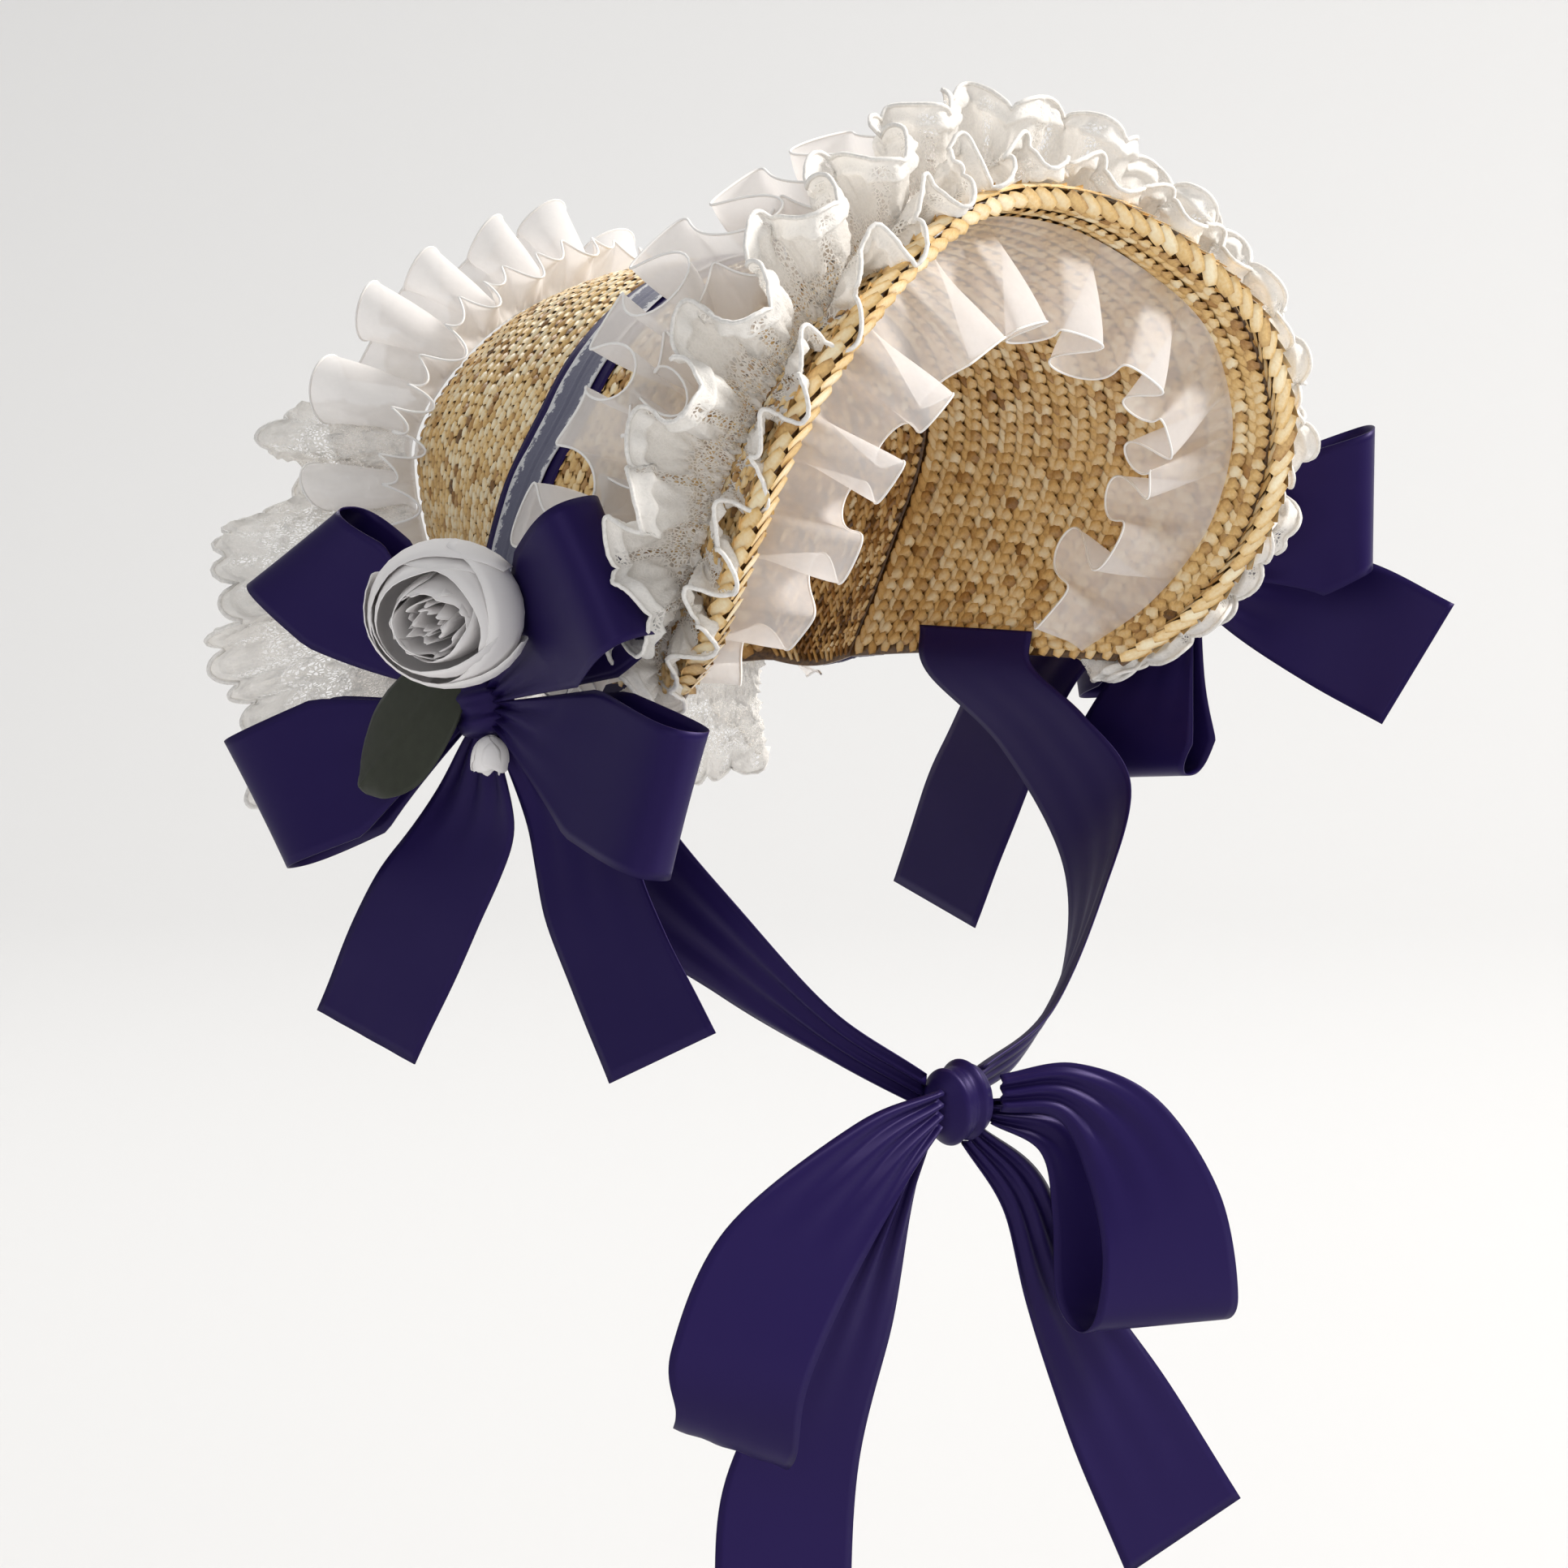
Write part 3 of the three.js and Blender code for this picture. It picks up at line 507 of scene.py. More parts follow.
# the edge cord's rows are (turn round the cord, pitch); turn 0 is the front edge and 1 a quarter outward
rimCord = {
    "radius": 2.7, "core": 1.9, "rows": [(-1.6, 4.4), (-0.5, 5.0), (0.65, 5.0), (1.6, 4.4)], "pitch": 6.4,
    "length": 10.4, "cover": 1.0, "slant": 26, "herringbone": False, "rowLift": [0.2], "thick": 0.35,
    "tilt": 0.6, "tone": 0.82, "toneSpread": 0.13, "side": 1
}


def rimPoint(u, turn):
    out = surfaceFrame(brimPoint, u, np.full(np.shape(u), 0.004))[3]
    ahead = unit(frontLine(u) - brimPoint(u, np.full(np.shape(u), 0.03)))
    angle = np.asarray(turn)[..., None] * np.pi / 2
    return frontLine(u) + (ahead * np.cos(angle) + out * np.sin(angle)) * rimCord["radius"]


strawPiece("rim_plait", "rim", tubeMesh(frontLine(np.linspace(-1, 1, 161)), rimCord["core"], 8), 0.05,
           [plaitCells(rimPoint, rimCord["rows"], rimCord, 5)])
print("straw made")


# band over the seam

bandValues = {"half": 14, "lift": 2.1, "rows": 15, "cols": 200, "ripple": 0.35, "seed": 3, "cloth": 0.5}
tapeValues = {"half": 8.6, "lift": 2.9, "rows": 19, "cols": 260, "ripple": 0.9, "seed": 5, "cloth": 0.4,
              "creases": [(0.8, 0.5), (-2.2, 0.35)], "creaseWidth": 0.5}


def bandStrip(v):
    d, u = np.meshgrid(np.linspace(-v["half"], v["half"], v["rows"]), np.linspace(-0.999, 0.999, v["cols"]),
                       indexing="ij")
    halves = []
    for surface, seamAt in ((brimPoint, 1), (crownPoint, 0)):
        length = np.linalg.norm(surface(u, np.ones_like(u)) - surface(u, np.zeros_like(u)), axis=-1)
        halves.append(surfaceFrame(surface, u, np.clip(seamAt + d / length, 0.002, 0.998)))
    at, across, out = (np.where((d < 0)[..., None], halves[0][k], halves[1][k]) for k in (0, 2, 3))
    wave = (wander((u + 1) / 2, v["seed"], 14) * np.abs(d / v["half"]) * v["ripple"])[..., None]
    at = at + out * (v["lift"] + np.abs(wave)) + across * wave * 0.8
    return at, np.stack([np.broadcast_to(runAlong(at[v["rows"] // 2]), d.shape), d], -1)


def bandPiece(name, v, at, uv, material, node):
    strip = meshPiece(name, at, gridFaces(v["rows"], v["cols"]), material, uv)
    return finishPiece(strip, [node], v["cloth"])


def tapeMaterial():
    values = {"sheer": (0.125, 0.128, 0.19), "thread": (0.66, 0.66, 0.68), "fray": 12, "frayFrom": 12.4,
              "frayTo": 13.2, "roughness": 0.75, "sheen": 0.2, "fuzz": 0.4}
    material, nodes, links, skin = newMaterial("sheer_tape")
    cut = addNode(nodes, "ShaderNodeUVMap", uv_map="cut").outputs["UV"]
    split = addNode(nodes, "ShaderNodeSeparateXYZ")
    links.new(cut, split.inputs[0])
    away = addNode(nodes, "ShaderNodeMath", operation="ABSOLUTE")
    links.new(split.outputs["Y"], away.inputs[0])
    fray = addTexture(nodes, links, cut, "ShaderNodeTexNoise", Scale=0.30, Detail=5.0, Roughness=0.7)
    far = addNode(nodes, "ShaderNodeMath", operation="MULTIPLY_ADD")
    far.inputs[1].default_value = values["fray"]
    links.new(fray.outputs["Fac"], far.inputs[0])
    links.new(away.outputs[0], far.inputs[2])
    edge = addNode(nodes, "ShaderNodeMapRange")
    edge.inputs["From Min"].default_value = values["frayFrom"]
    edge.inputs["From Max"].default_value = values["frayTo"]
    links.new(far.outputs[0], edge.inputs["Value"])
    colour = addNode(nodes, "ShaderNodeMix", data_type="RGBA")
    colour.inputs["A"].default_value = (*values["sheer"], 1)
    colour.inputs["B"].default_value = (*values["thread"], 1)
    links.new(edge.outputs["Result"], colour.inputs["Factor"])
    links.new(colour.outputs["Result"], skin.inputs["Base Color"])
    skin.inputs["Roughness"].default_value = values["roughness"]
    skin.inputs["Sheen Weight"].default_value = values["sheen"]
    addBump(nodes, links, skin, fray.outputs["Fac"], values["fuzz"], 0.001)
    return material


at, uv = bandStrip(bandValues)
band = bandPiece("navy_band", bandValues, at, uv, satin, "band_ribbon")

at, uv = bandStrip(tapeValues)
crease = sum(deep * np.exp(-((uv[..., 1] - where) / tapeValues["creaseWidth"]) ** 2)
             for where, deep in tapeValues["creases"])
at = at + unit(at - np.array([0, 60, -60])) * crease[..., None]
tape = bandPiece("sheer_tape", tapeValues, at, uv, tapeMaterial(), "band_tape")
print("band made")


# ruffles

ruffleEnds = 0.985      # share of the half arch that the ruffles run over
backward = [0.0, 1.0, 0.0]


def ruffleGrid(frames, v):      # frames: at, along, across, out, lean, reach and t for every step
    at, along, across, out, lean, reach, t = frames
    h = np.linspace(0, 1, v["rows"])[:, None, None]
    lean = lean + v["unrest"] * wander(t, v["seed"] + 80, v["folds"])
    angle = np.radians(lean)[:, None]
    rise = across * np.cos(angle) + out * np.sin(angle)
    fold = -across * np.sin(angle) + out * np.cos(angle)
    size = 1 + 0.20 * np.sin(17.3 * t + v["seed"]) + 0.14 * np.sin(41.7 * t + 2 * v["seed"])
    size = size * np.minimum(1, reach / 30)      # short ends fold less
    phase = 2 * np.pi * v["folds"] * t + v["drift"] * wander(t, v["seed"] + 20, 6)
    height = reach * (1 + v["flutter"] * wander(t, v["seed"] + 40, v["folds"]))
    wave = (v["wave"] * size * (np.sin(phase) + v["crisp"] * np.sin(3 * phase)))[:, None]
    slide = (-v["slide"] * size * np.sin(2 * phase))[:, None]      # rounds the folds over like an S
    curl = (v["curl"] * np.sin(2 * phase + 1.3 * v["seed"]))[:, None]
    grown = 1 - (1 - h) ** v["bloom"]
    pucker = v["gather"] * np.sin(5 * phase + 2 * np.sin(9 * t))[:, None]
    pucker = pucker * (1 - h) ** 2 * np.minimum(1, 8 * h)
    if "scallop" in v:
        run = runAlong(at + rise * height[:, None] + fold * wave + along * slide)
        v["lobes"] = max(4, round(run[-1] / v["scallop"]))      # the embroidery uses the same count
        bite = np.abs(np.sin(np.pi * run / run[-1] * v["lobes"])) ** v["lobeShape"]
        height = height * (1 - v["lobeDepth"] * (1 - bite))
    return (at + rise * height[:, None] * h + fold * (grown * wave + pucker) + along * grown * slide
            + fold * curl * h ** 3)


def clothUv(grid):
    run = runAlong(grid[-1])
    up = np.concatenate([[0], np.cumsum(np.linalg.norm(np.diff(grid, axis=0), axis=2).mean(axis=1))])
    return np.stack(np.broadcast_arrays(run[None, :], up[:, None]), -1), run[-1], up[-1]


def clothPiece(name, grid, material, nodes, hem, hemMaterial, tone=None):
    uv, run, up = clothUv(grid)
    thing = meshPiece(name, grid, gridFaces(*grid.shape[:2]), material, uv, tone)
    finishPiece(thing, nodes)
    edge = meshPiece(name + "_hem", *tubeMesh(grid[-1], hem, 5), hemMaterial)
    finishPiece(edge)


def organzaPiece(name, frames, v, nodes, cloth=organza):
    clothPiece(name, ruffleGrid(frames(v), v), cloth, nodes, v["hem"], hemThread)


def brimFrames(v):
    t = np.linspace(0, 1, v["steps"] + 1)
    u = ruffleEnds * (2 * t - 1)
    s = v["inset"] / np.linalg.norm(frontLine(u) - seamLine(u), axis=1)
    at, along, across, out = surfaceFrame(brimPoint, u, 1 - s if v["fromSeam"] else s)
    out = out * v["side"]
    lean, reach = (np.interp(u, v["arch"], v[key]) for key in ("lean", "reach"))
    return at + out * v["clear"], along, across, out, lean, reach, t


brimOrganzaValues = {
    "inset": 71, "fromSeam": True, "side": 1, "clear": 2.6, "arch": [-1, -0.8, -0.6, -0.35, 0, 0.4, 0.6, 1],
    "lean": [98, 84, 77, 74, 70, 78, 110, 125], "reach": [22, 32, 36, 36, 31, 28, 24, 20], "folds": 16,
    "steps": 704, "rows": 20, "wave": 14.5, "slide": 6.6, "crisp": -0.04, "drift": 1.8, "flutter": 0.13,
    "curl": 4.5, "bloom": 1.9, "unrest": 16, "gather": 0.5, "seed": 1, "hem": 0.45
}
organzaPiece("brim_organza", brimFrames, brimOrganzaValues, ["brim_organza_ruffle"])

puffValues = dict(
    brimOrganzaValues, inset=80, lean=[86, 70, 62, 58, 58, 66, 96, 110],
    reach=[16, 22, 25, 25, 24, 21, 18, 14], folds=20, steps=720, rows=14, wave=9, slide=4, seed=21
)
organzaPiece("brim_organza_puffs", brimFrames, puffValues, [])

innerValues = {
    "inset": 17, "fromSeam": False, "side": -1, "clear": 2.6,
    "arch": [-1, -0.8, -0.4, 0, 0.3, 0.45, 0.6, 0.85, 1], "lean": [84, 84, 84, 88, 94, 102, 114, 120, 120],
    "reach": [22, 34, 39, 39, 38, 36, 40, 38, 24], "folds": 12, "steps": 624, "rows": 20, "wave": 10.5,
    "slide": 3.9, "crisp": 0.0, "drift": 1.3, "flutter": 0.09, "curl": 2.2, "bloom": 1.5, "unrest": 9,
    "gather": 0.9, "seed": 4, "hem": 0.4
}
organzaPiece("inner_frill", brimFrames, innerValues, ["inner_organza_frill"], frillOrganza)


def laceRelief(grid, v):
    # raised embroidery: a fan in every scallop and sprigs above, as heights and as cover (1 solid, 0 net)
    uv, run, up = clothUv(grid)
    x = uv[..., 0] / run * v["lobes"]
    lobe = np.floor(x)
    local = x - lobe - 0.5
    low = (up - uv[..., 1]) / (run / v["lobes"])      # height above the hem in scallops
    spoke = np.arctan2(local, 1.05 - low)
    fan = smooth(low, 0.02, 0.10) * smooth(-low, -0.98, -0.62) * smooth(-np.abs(local), -0.47, -0.36)
    ridges = fan * (0.45 + 0.55 * np.cos(15 * spoke)) * (0.6 + 0.4 * np.cos(9 * low + 1.7 * lobe))
    ring = np.exp(-((low - 0.16 - 0.25 * local ** 2) / 0.05) ** 2)
    sx, sy = x * 1.5 + 0.5 * np.floor(low * 1.5), low * 1.5
    cx, cy = sx - np.floor(sx) - 0.5, sy - np.floor(sy) - 0.5
    r, a = np.hypot(cx, cy), np.arctan2(cy, cx)
    above = smooth(low, 0.8, 1.1)
    flower = smooth(0.34 + 0.10 * np.cos(5 * a + 2.1 * np.floor(sx)) - r, 0, 0.12) * above
    eye = np.exp(-(r / 0.10) ** 2) * above
    stem = np.exp(-((cy - 0.22 * np.sin(2 * np.pi * cx)) / 0.07) ** 2) * above
    height = ridges + 0.9 * ring + flower * (0.7 + 0.35 * np.cos(5 * a)) - 0.5 * eye + 0.6 * stem
    cover = np.maximum.reduce([fan * 0.95, ring, flower, stem]) - 0.8 * eye
    return height, np.clip(cover, 0, 1)


def lacePiece(name, frames, v, nodes):
    grid = ruffleGrid(frames(v), v)
    height, cover = laceRelief(grid, v)
    normal = unit(np.cross(np.gradient(grid, axis=1), np.gradient(grid, axis=0)))
    rough = np.random.default_rng(v["seed"]).normal(0, v["rough"], height.shape)
    grid = grid + normal * (height * v["relief"] + rough)[..., None]
    cover[:v["closedRows"]] = np.maximum(cover[:v["closedRows"]], 0.7)
    cover[-3:] = 1      # the hem is solid
    clothPiece(name, grid, lace, nodes, v["hem"], laceCord, cover.ravel())


brimLaceValues = {
    "inset": 24, "fromSeam": False, "side": 1, "clear": 3.0,
    "arch": [-1, -0.86, -0.74, -0.5, 0.1, 0.28, 0.5, 0.78, 0.9, 1],
    "lean": [44, 52, 68, 74, 62, 50, 50, 50, 34, 30], "reach": [15, 24, 36, 39, 36, 30, 30, 30, 18, 12],
    "folds": 17, "steps": 850, "rows": 34, "wave": 9.5, "slide": 4.2, "crisp": 0.0, "drift": 1.5,
    "flutter": 0.14, "curl": 3.4, "bloom": 1.7, "unrest": 20, "gather": 0.5, "seed": 2, "scallop": 24,
    "lobeShape": 0.5, "lobeDepth": 0.16, "relief": 2.1, "rough": 0.12, "closedRows": 0, "hem": 0.8
}
lowerLaceValues = dict(
    brimLaceValues, inset=23, lean=[12, 12, 14, 14, 20, 24, 28, 26, 16, 12], clear=2.2,
    reach=[14, 20, 27, 28, 29, 27, 27, 27, 18, 12], drift=2.6, flutter=0.26, folds=19, wave=6.5, slide=3.2,
    unrest=12, seed=7, scallop=21
)
lacePiece("brim_lace", brimFrames, brimLaceValues, ["brim_lace_ruffle"])
lacePiece("brim_lace_lower", brimFrames, lowerLaceValues, [])
print("brim ruffles made")


def lowShare(at):      # 0 over the top of the crown, 1 at its sides and below
    return smooth(-at[:, 2], 15, 95)


def backFrames(v):
    t = np.linspace(0, 1, v["steps"] + 1)
    u = ruffleEnds * (2 * t - 1)
    at = backLine(u)
    away = unit(at * [1, 0, 1] + [0, 0, v["middle"]])
    along = unit(backLine(u + 0.01) - backLine(u - 0.01))
    lean = mix(v["leanTop"], v["leanSide"], lowShare(at))
    at = at + away * v["clear"] + [0, v["behind"], 0]
    return at, along, np.broadcast_to(backward, at.shape), away, lean, np.full(len(t), v["length"]), t


backOrganzaValues = {
    "length": 35, "leanTop": 30, "leanSide": 13, "middle": 62, "clear": 2.6, "behind": 1.5, "folds": 16,
    "steps": 704, "rows": 18, "wave": 10, "slide": 4.2, "crisp": -0.04, "drift": 2.8, "flutter": 0.26,
    "curl": 5.0, "bloom": 2.6, "unrest": 16, "gather": 0.5, "seed": 3, "hem": 0.45
}
organzaPiece("back_organza", backFrames, backOrganzaValues, ["back_organza_ruffle"])

# this strip is turned over onto the crown
backPuffValues = dict(
    backOrganzaValues, length=17, leanTop=118, leanSide=118, behind=0, folds=19, wave=6, slide=3, seed=9
)
organzaPiece("back_organza_puffs", backFrames, backPuffValues, [])

backLaceValues = {
    "length": 79, "lengthTop": 42, "leanTop": -2, "leanSide": 34, "middle": 66, "behind": 6,
    "napeBehind": 5, "napeUp": 3, "napePoints": [(44, 147, -132), (0, 158, -136), (-44, 147, -132)],
    "folds": 13, "steps": 832, "rows": 40, "wave": 7, "slide": 2.6, "crisp": 0.0, "drift": 0.0,
    "flutter": 0.0, "curl": 3.6, "bloom": 1.5, "unrest": 0, "gather": 0.5, "seed": 5, "scallop": 13,
    "lobeShape": 0.5, "lobeDepth": 0.13, "relief": 1.8, "rough": 0.12, "closedRows": 12, "hem": 0.85
}


def backLaceFrames(v):      # a closed ring round the crown's back and under the nape
    ring = np.vstack([backLine(np.linspace(-1, 1, 25)), v["napePoints"]])
    t = np.linspace(0, 1, v["steps"] + 1)
    even = evenSteps(spline(ring, np.linspace(0, 1, 1201), closed=True), len(t))
    at = spline(ring, even, closed=True)
    along = unit(spline(ring, even + 0.002, closed=True) - spline(ring, even - 0.002, closed=True))
    away = unit(at * [1, 0, 1] + [0, 0, v["middle"]])
    reach = mix(v["lengthTop"], v["length"], lowShare(at))
    reach = reach * (1 + 0.07 * np.sin(14 * np.pi * t) + 0.05 * np.sin(38 * np.pi * t + 1))
    lean = mix(v["leanTop"], v["leanSide"], lowShare(at))
    lean = lean + 11 * np.sin(6 * np.pi * t + 1) + 9 * np.sin(22 * np.pi * t + 2)
    nape = (smooth(-np.abs(at[:, 0]), -62, -40) * smooth(-at[:, 2], 100, 125))[:, None]
    at = at + mix(v["behind"], v["napeBehind"], nape) * backward + nape * [0, 0, v["napeUp"]]
    return at, along, np.broadcast_to(backward, at.shape), away, lean, reach, t


lacePiece("back_lace", backLaceFrames, backLaceValues, ["back_lace_ruffle"])
print("back ruffles made")


# side bows

ribbonValues = {"width": 48, "thickness": 0.45, "areaShare": 0.85}
bowValues = {"fan": 0.39, "half": 24, "reach": 10, "pleats": 3, "pleatDepth": 1.1, "knot": (8.5, 11.5, 11)}
bows = {
    "right": {"knot": (-128, 47, -127), "loops": {
        "upper_back": ((-143, 122, -79), (4, -20, 13), 9),
        "lower_back": ((-146, 140, -165), (-3, 13, 20), 9),
        "upper_front": ((-141, -31, -79), (-2, 11, 19), 11),
        "lower_front": ((-134, -54, -151), (2, -6, 21), 9)}},
    "left": {"knot": (125.6, -22.3, -92), "loops": {
        "upper_back": ((141, 48, -50), (2, -12, 20), 8),
        "lower_back": ((143, 50, -118), (2, 8, 22), 8),
        "upper_front": ((170, -62, -67), (-1, -1, 24), 11, 0.62),
        "lower_front": ((123, 4, -164), (4, -23, 2), 7)}},
}
# loops: tip, half ribbon across at the tip, opening and, where it isn't bowValues' own, how fast it widens


def loopGrid(knot, loop, seed):
    tip, edge, opening = (np.array(x, float) for x in loop[:3])
    fan = loop[3] if len(loop) > 3 else bowValues["fan"]
    start = np.array(knot, float)
    length = np.linalg.norm(tip - start)
    axis = (tip - start) / length
    depth = unit(np.cross(axis, edge))
    square = unit(np.cross(depth, axis))
    t = np.linspace(-1, 1, 61)[None, :, None]
    b = np.linspace(-1, 1, 17)[:, None, None]
    share = 1 - np.abs(t) ** 2.4
    r = bowValues["reach"] + (length - bowValues["reach"]) * share
    half = np.minimum(r * fan, bowValues["half"])
    across = unit(mix(square, unit(edge), smooth(share, 0.3, 1)))
    near = np.exp(-(r - bowValues["reach"]) / 16)
    pleat = bowValues["pleatDepth"] * near * np.sin(np.pi * bowValues["pleats"] * b + 2.1 * np.sign(t) + seed)
    cup = 0.9 * (b ** 2 - 0.3) * np.sign(t) * np.minimum(1, 3 * np.abs(t)) * share
    deep = 2.2 * t + opening * np.sin(np.pi * t) * share + pleat + cup
    return start + axis * r + depth * deep + across * b * half


def ribbonPiece(name, grid, nodes):
    lines = grid.shape[0]
    run = runAlong(grid[lines // 2])
    across = np.linspace(-1, 1, lines) * ribbonValues["width"] / 2
    uv = np.stack(np.broadcast_arrays(run[None, :], across[:, None]), -1)
    thing = meshPiece(name, grid, gridFaces(*grid.shape[:2]), satin, uv)
    finishPiece(thing, nodes, ribbonValues["thickness"])


def knotPiece(name, node, centre, size, axis, seed):      # a gathered knot: pleats run round the given axis
    rows, cols = 25, 56
    r = np.random.default_rng(seed)
    a, b = np.meshgrid(np.linspace(0, 2 * np.pi, cols, endpoint=False), np.linspace(-1, 1, rows))
    axis = unit(np.array(axis, float))
    one = unit(np.cross(axis, [0.2, 0.9, 0.35]))
    two = np.cross(axis, one)
    groove = 1 + 0.07 * np.sin(7.5 * b + r.uniform(0, 6)) + 0.035 * np.sin(17 * b + 1.5 * np.sin(a) + seed)
    girth = (1 - np.abs(b) ** 3.2) ** 0.5 * groove
    shape = (np.cos(a) * girth)[..., None] * one + (np.sin(a) * girth)[..., None] * two + b[..., None] * axis
    grid = np.array(centre, float) + shape * np.array(size, float)
    uv = np.stack(np.meshgrid(np.arange(cols), np.arange(rows)), -1)
    finishPiece(meshPiece(name, grid, gridFaces(rows, cols, looped=True), satin, uv), [node])


for side, bow in bows.items():
    for k, (place, loop) in enumerate(bow["loops"].items()):
        ribbonPiece(f"satin_{side}_{place}_loop", loopGrid(bow["knot"], loop, k),
                    [f"{side}_bow_{place}_loop"])
    knotPiece(f"satin_{side}_knot", f"{side}_bow_knot", bow["knot"], bowValues["knot"], (0, 0.3, 1), 3)


# ribbon runs: centre and half ribbon across for each bend

ribbonRuns = {
    "right_bow_back_tail": [
        (-124.3, 51.3, -134.8, 0, 4, 2), (-122, 62, -165, -2, 20, 2), (-127, 80, -195, -4, 23, 5),
        (-131, 106, -240, -4, 21, 7)],
    "right_bow_front_tail": [
        (-123.7, 41.8, -134, 0, 4, -2), (-112, 25, -158, -3, 16, -8), (-113, 8, -192, -3, 22, -5),
        (-113, -22, -234, -4, 21, -10)],
    "left_bow_front_tail": [
        (131.5, -18, -98.7, 2, 1, 4), (154, -26, -101, 6, -3, 16), (172, -46, -111, 8, -6, 21),
        (183, -72, -124, 9, -8, 20.5)],
    "left_bow_back_tail": [
        (122.6, -13.4, -98.4, -1, 2, 1), (109, 32, -122, 1, 18, 6), (105, 60, -166, 2, 23, 7),
        (103, 82, -214, 2, 23, 6)],
    "chin_tie_right": [
        (-84, 42, -113, 3.5, 24, 0), (-83.5, 42, -127, 3, 23, -2), (-90, 37, -147, -1, 20, -9),
        (-90, 18, -178, 0, 12, -18), (-72, -7, -206, 2, 7, -15), (-46, -26, -233, 3, 5, -9),
        (-20.5, -43.5, -252, 1, 2, -6)],
    "chin_tie_left": [
        (84, 42, -113, -3.5, 24, 0), (84, 40, -127, -3, 23, -2), (93, 18, -148, 1, 21, -7),
        (97, -4, -178, 0, 16, -15), (76, -18, -212, -2, 8, -15), (38, -34, -240, -3, 5, -9),
        (1, -44, -250.5, -1, 2, -5)],
    "chin_tail_right": [
        (-4, -47.5, -267.5, 3, -1, 3), (17, -50, -288, 7, -2, 5), (35, -48, -322, 11, -3, 5),
        (60, -52, -366, 17, -5, 9), (84, -60, -412, 20, -7, 11)],
    "chin_tail_left": [
        (-23.5, -44, -268.5, 5, -1, 4), (-32, -37, -296, 9, -3, 3), (-42, -28, -330, 18, -5, 3),
        (-57, -20, -376, 23, -7, 2), (-61, -20, -430, 23, -7, 0)],
    "chin_loop_right": [
        (1.5, -56, -253.5, 0, 0, 6), (22, -66, -254, 3, -1, 9), (39, -74, -270, 12, -4, 12),
        (49, -82, -298, 21, -6, 8), (51, -83, -326, 25, -8, 1), (51, -75, -333, 25, -8, 0),
        (50, -66, -322, 25, -8, 1), (46, -62, -290, 21, -6, 7), (30, -58, -266, 10, -3, 9),
        (2.5, -49.5, -260, 0, 0, 4)],
    "chin_loop_left": [
        (-22.5, -53, -256, 0, 0, 6), (-48, -52, -268, -8, 3, 10), (-84, -48, -298, -20, 6, 12),
        (-102, -46, -330, -22, 7, 8), (-99, -41, -352, -20, 6, 9), (-94, -32, -358, -18, 6, 8),
        (-86, -30, -342, -18, 6, 6), (-72, -34, -304, -16, 5, 10), (-46, -40, -277, -6, 3, 9),
        (-21.5, -46.5, -262.5, 0, 0, 4)],
}
pleated = {"count": 3.2, "depth": 2.08, "openHalf": 23.5, "softness": 0.35}
chinKnot = {"centre": (-10, -48, -256), "size": (12, 9, 12.5), "axis": (1, 0.2, 0.15), "seed": 4}


def runGrid(rows, seed, steps=14, lines=17):
    rows = np.array(rows, float)
    t = np.linspace(0, 1, (len(rows) - 1) * steps + 1)
    centre, half = spline(rows[:, :3], t), spline(rows[:, 3:], t)
    normal = unit(np.cross(unit(np.gradient(centre, axis=0)), half))
    b = np.linspace(-1, 1, lines)[:, None]
    narrow = np.clip(1 - np.linalg.norm(half, axis=1) / pleated["openHalf"], 0, 1)      # where it is gathered
    fold = pleated["depth"] * narrow * np.sin(np.pi * pleated["count"] * b + seed + 0.6 * np.sin(5 * t))
    soft = pleated["softness"] * wander(t, seed + 60, 4) * b
    return centre + half * b[..., None] + normal * (fold + soft)[..., None]


for k, (name, rows) in enumerate(ribbonRuns.items()):
    ribbonPiece("satin_" + name, runGrid(rows, k), [name])
knotPiece("satin_chin_knot", "chin_knot", **chinKnot)
print("ribbons made")


# roses; rings: petals, widest, lip width, lip height, raggedness

roseRings = [(3, 1.06, 0.66, 0.62, 0.01), (3, 0.96, 0.46, 0.88, 0.02), (3, 0.66, 0.32, 0.97, 0.03),
             (5, 0.44, 0.31, 1.0, 0.09), (4, 0.27, 0.20, 1.01, 0.10), (3, 0.14, 0.10, 1.0, 0.10)]
roses = {
    "right_rose_petals": {"node": "right_rose", "at": (-153.6, 29.6, -94.6), "facing": (-0.85, -0.50, -0.12),
                          "radius": 29, "rings": roseRings, "seed": 11},
    "left_rose_petals": {"node": "left_rose", "at": (149.8, -11.4, -60.8), "facing": (0.9, -0.4, 0.1),
                         "radius": 28, "rings": roseRings, "seed": 12},
    "right_bud": {"node": "right_rosebud", "at": (-131, 40, -140), "facing": (0, 0.1, -1), "radius": 9,
                  "rings": [(3, 0.75, 0.55, 0.9, 0.03), (3, 0.5, 0.3, 1.0, 0.05)], "seed": 5},
}


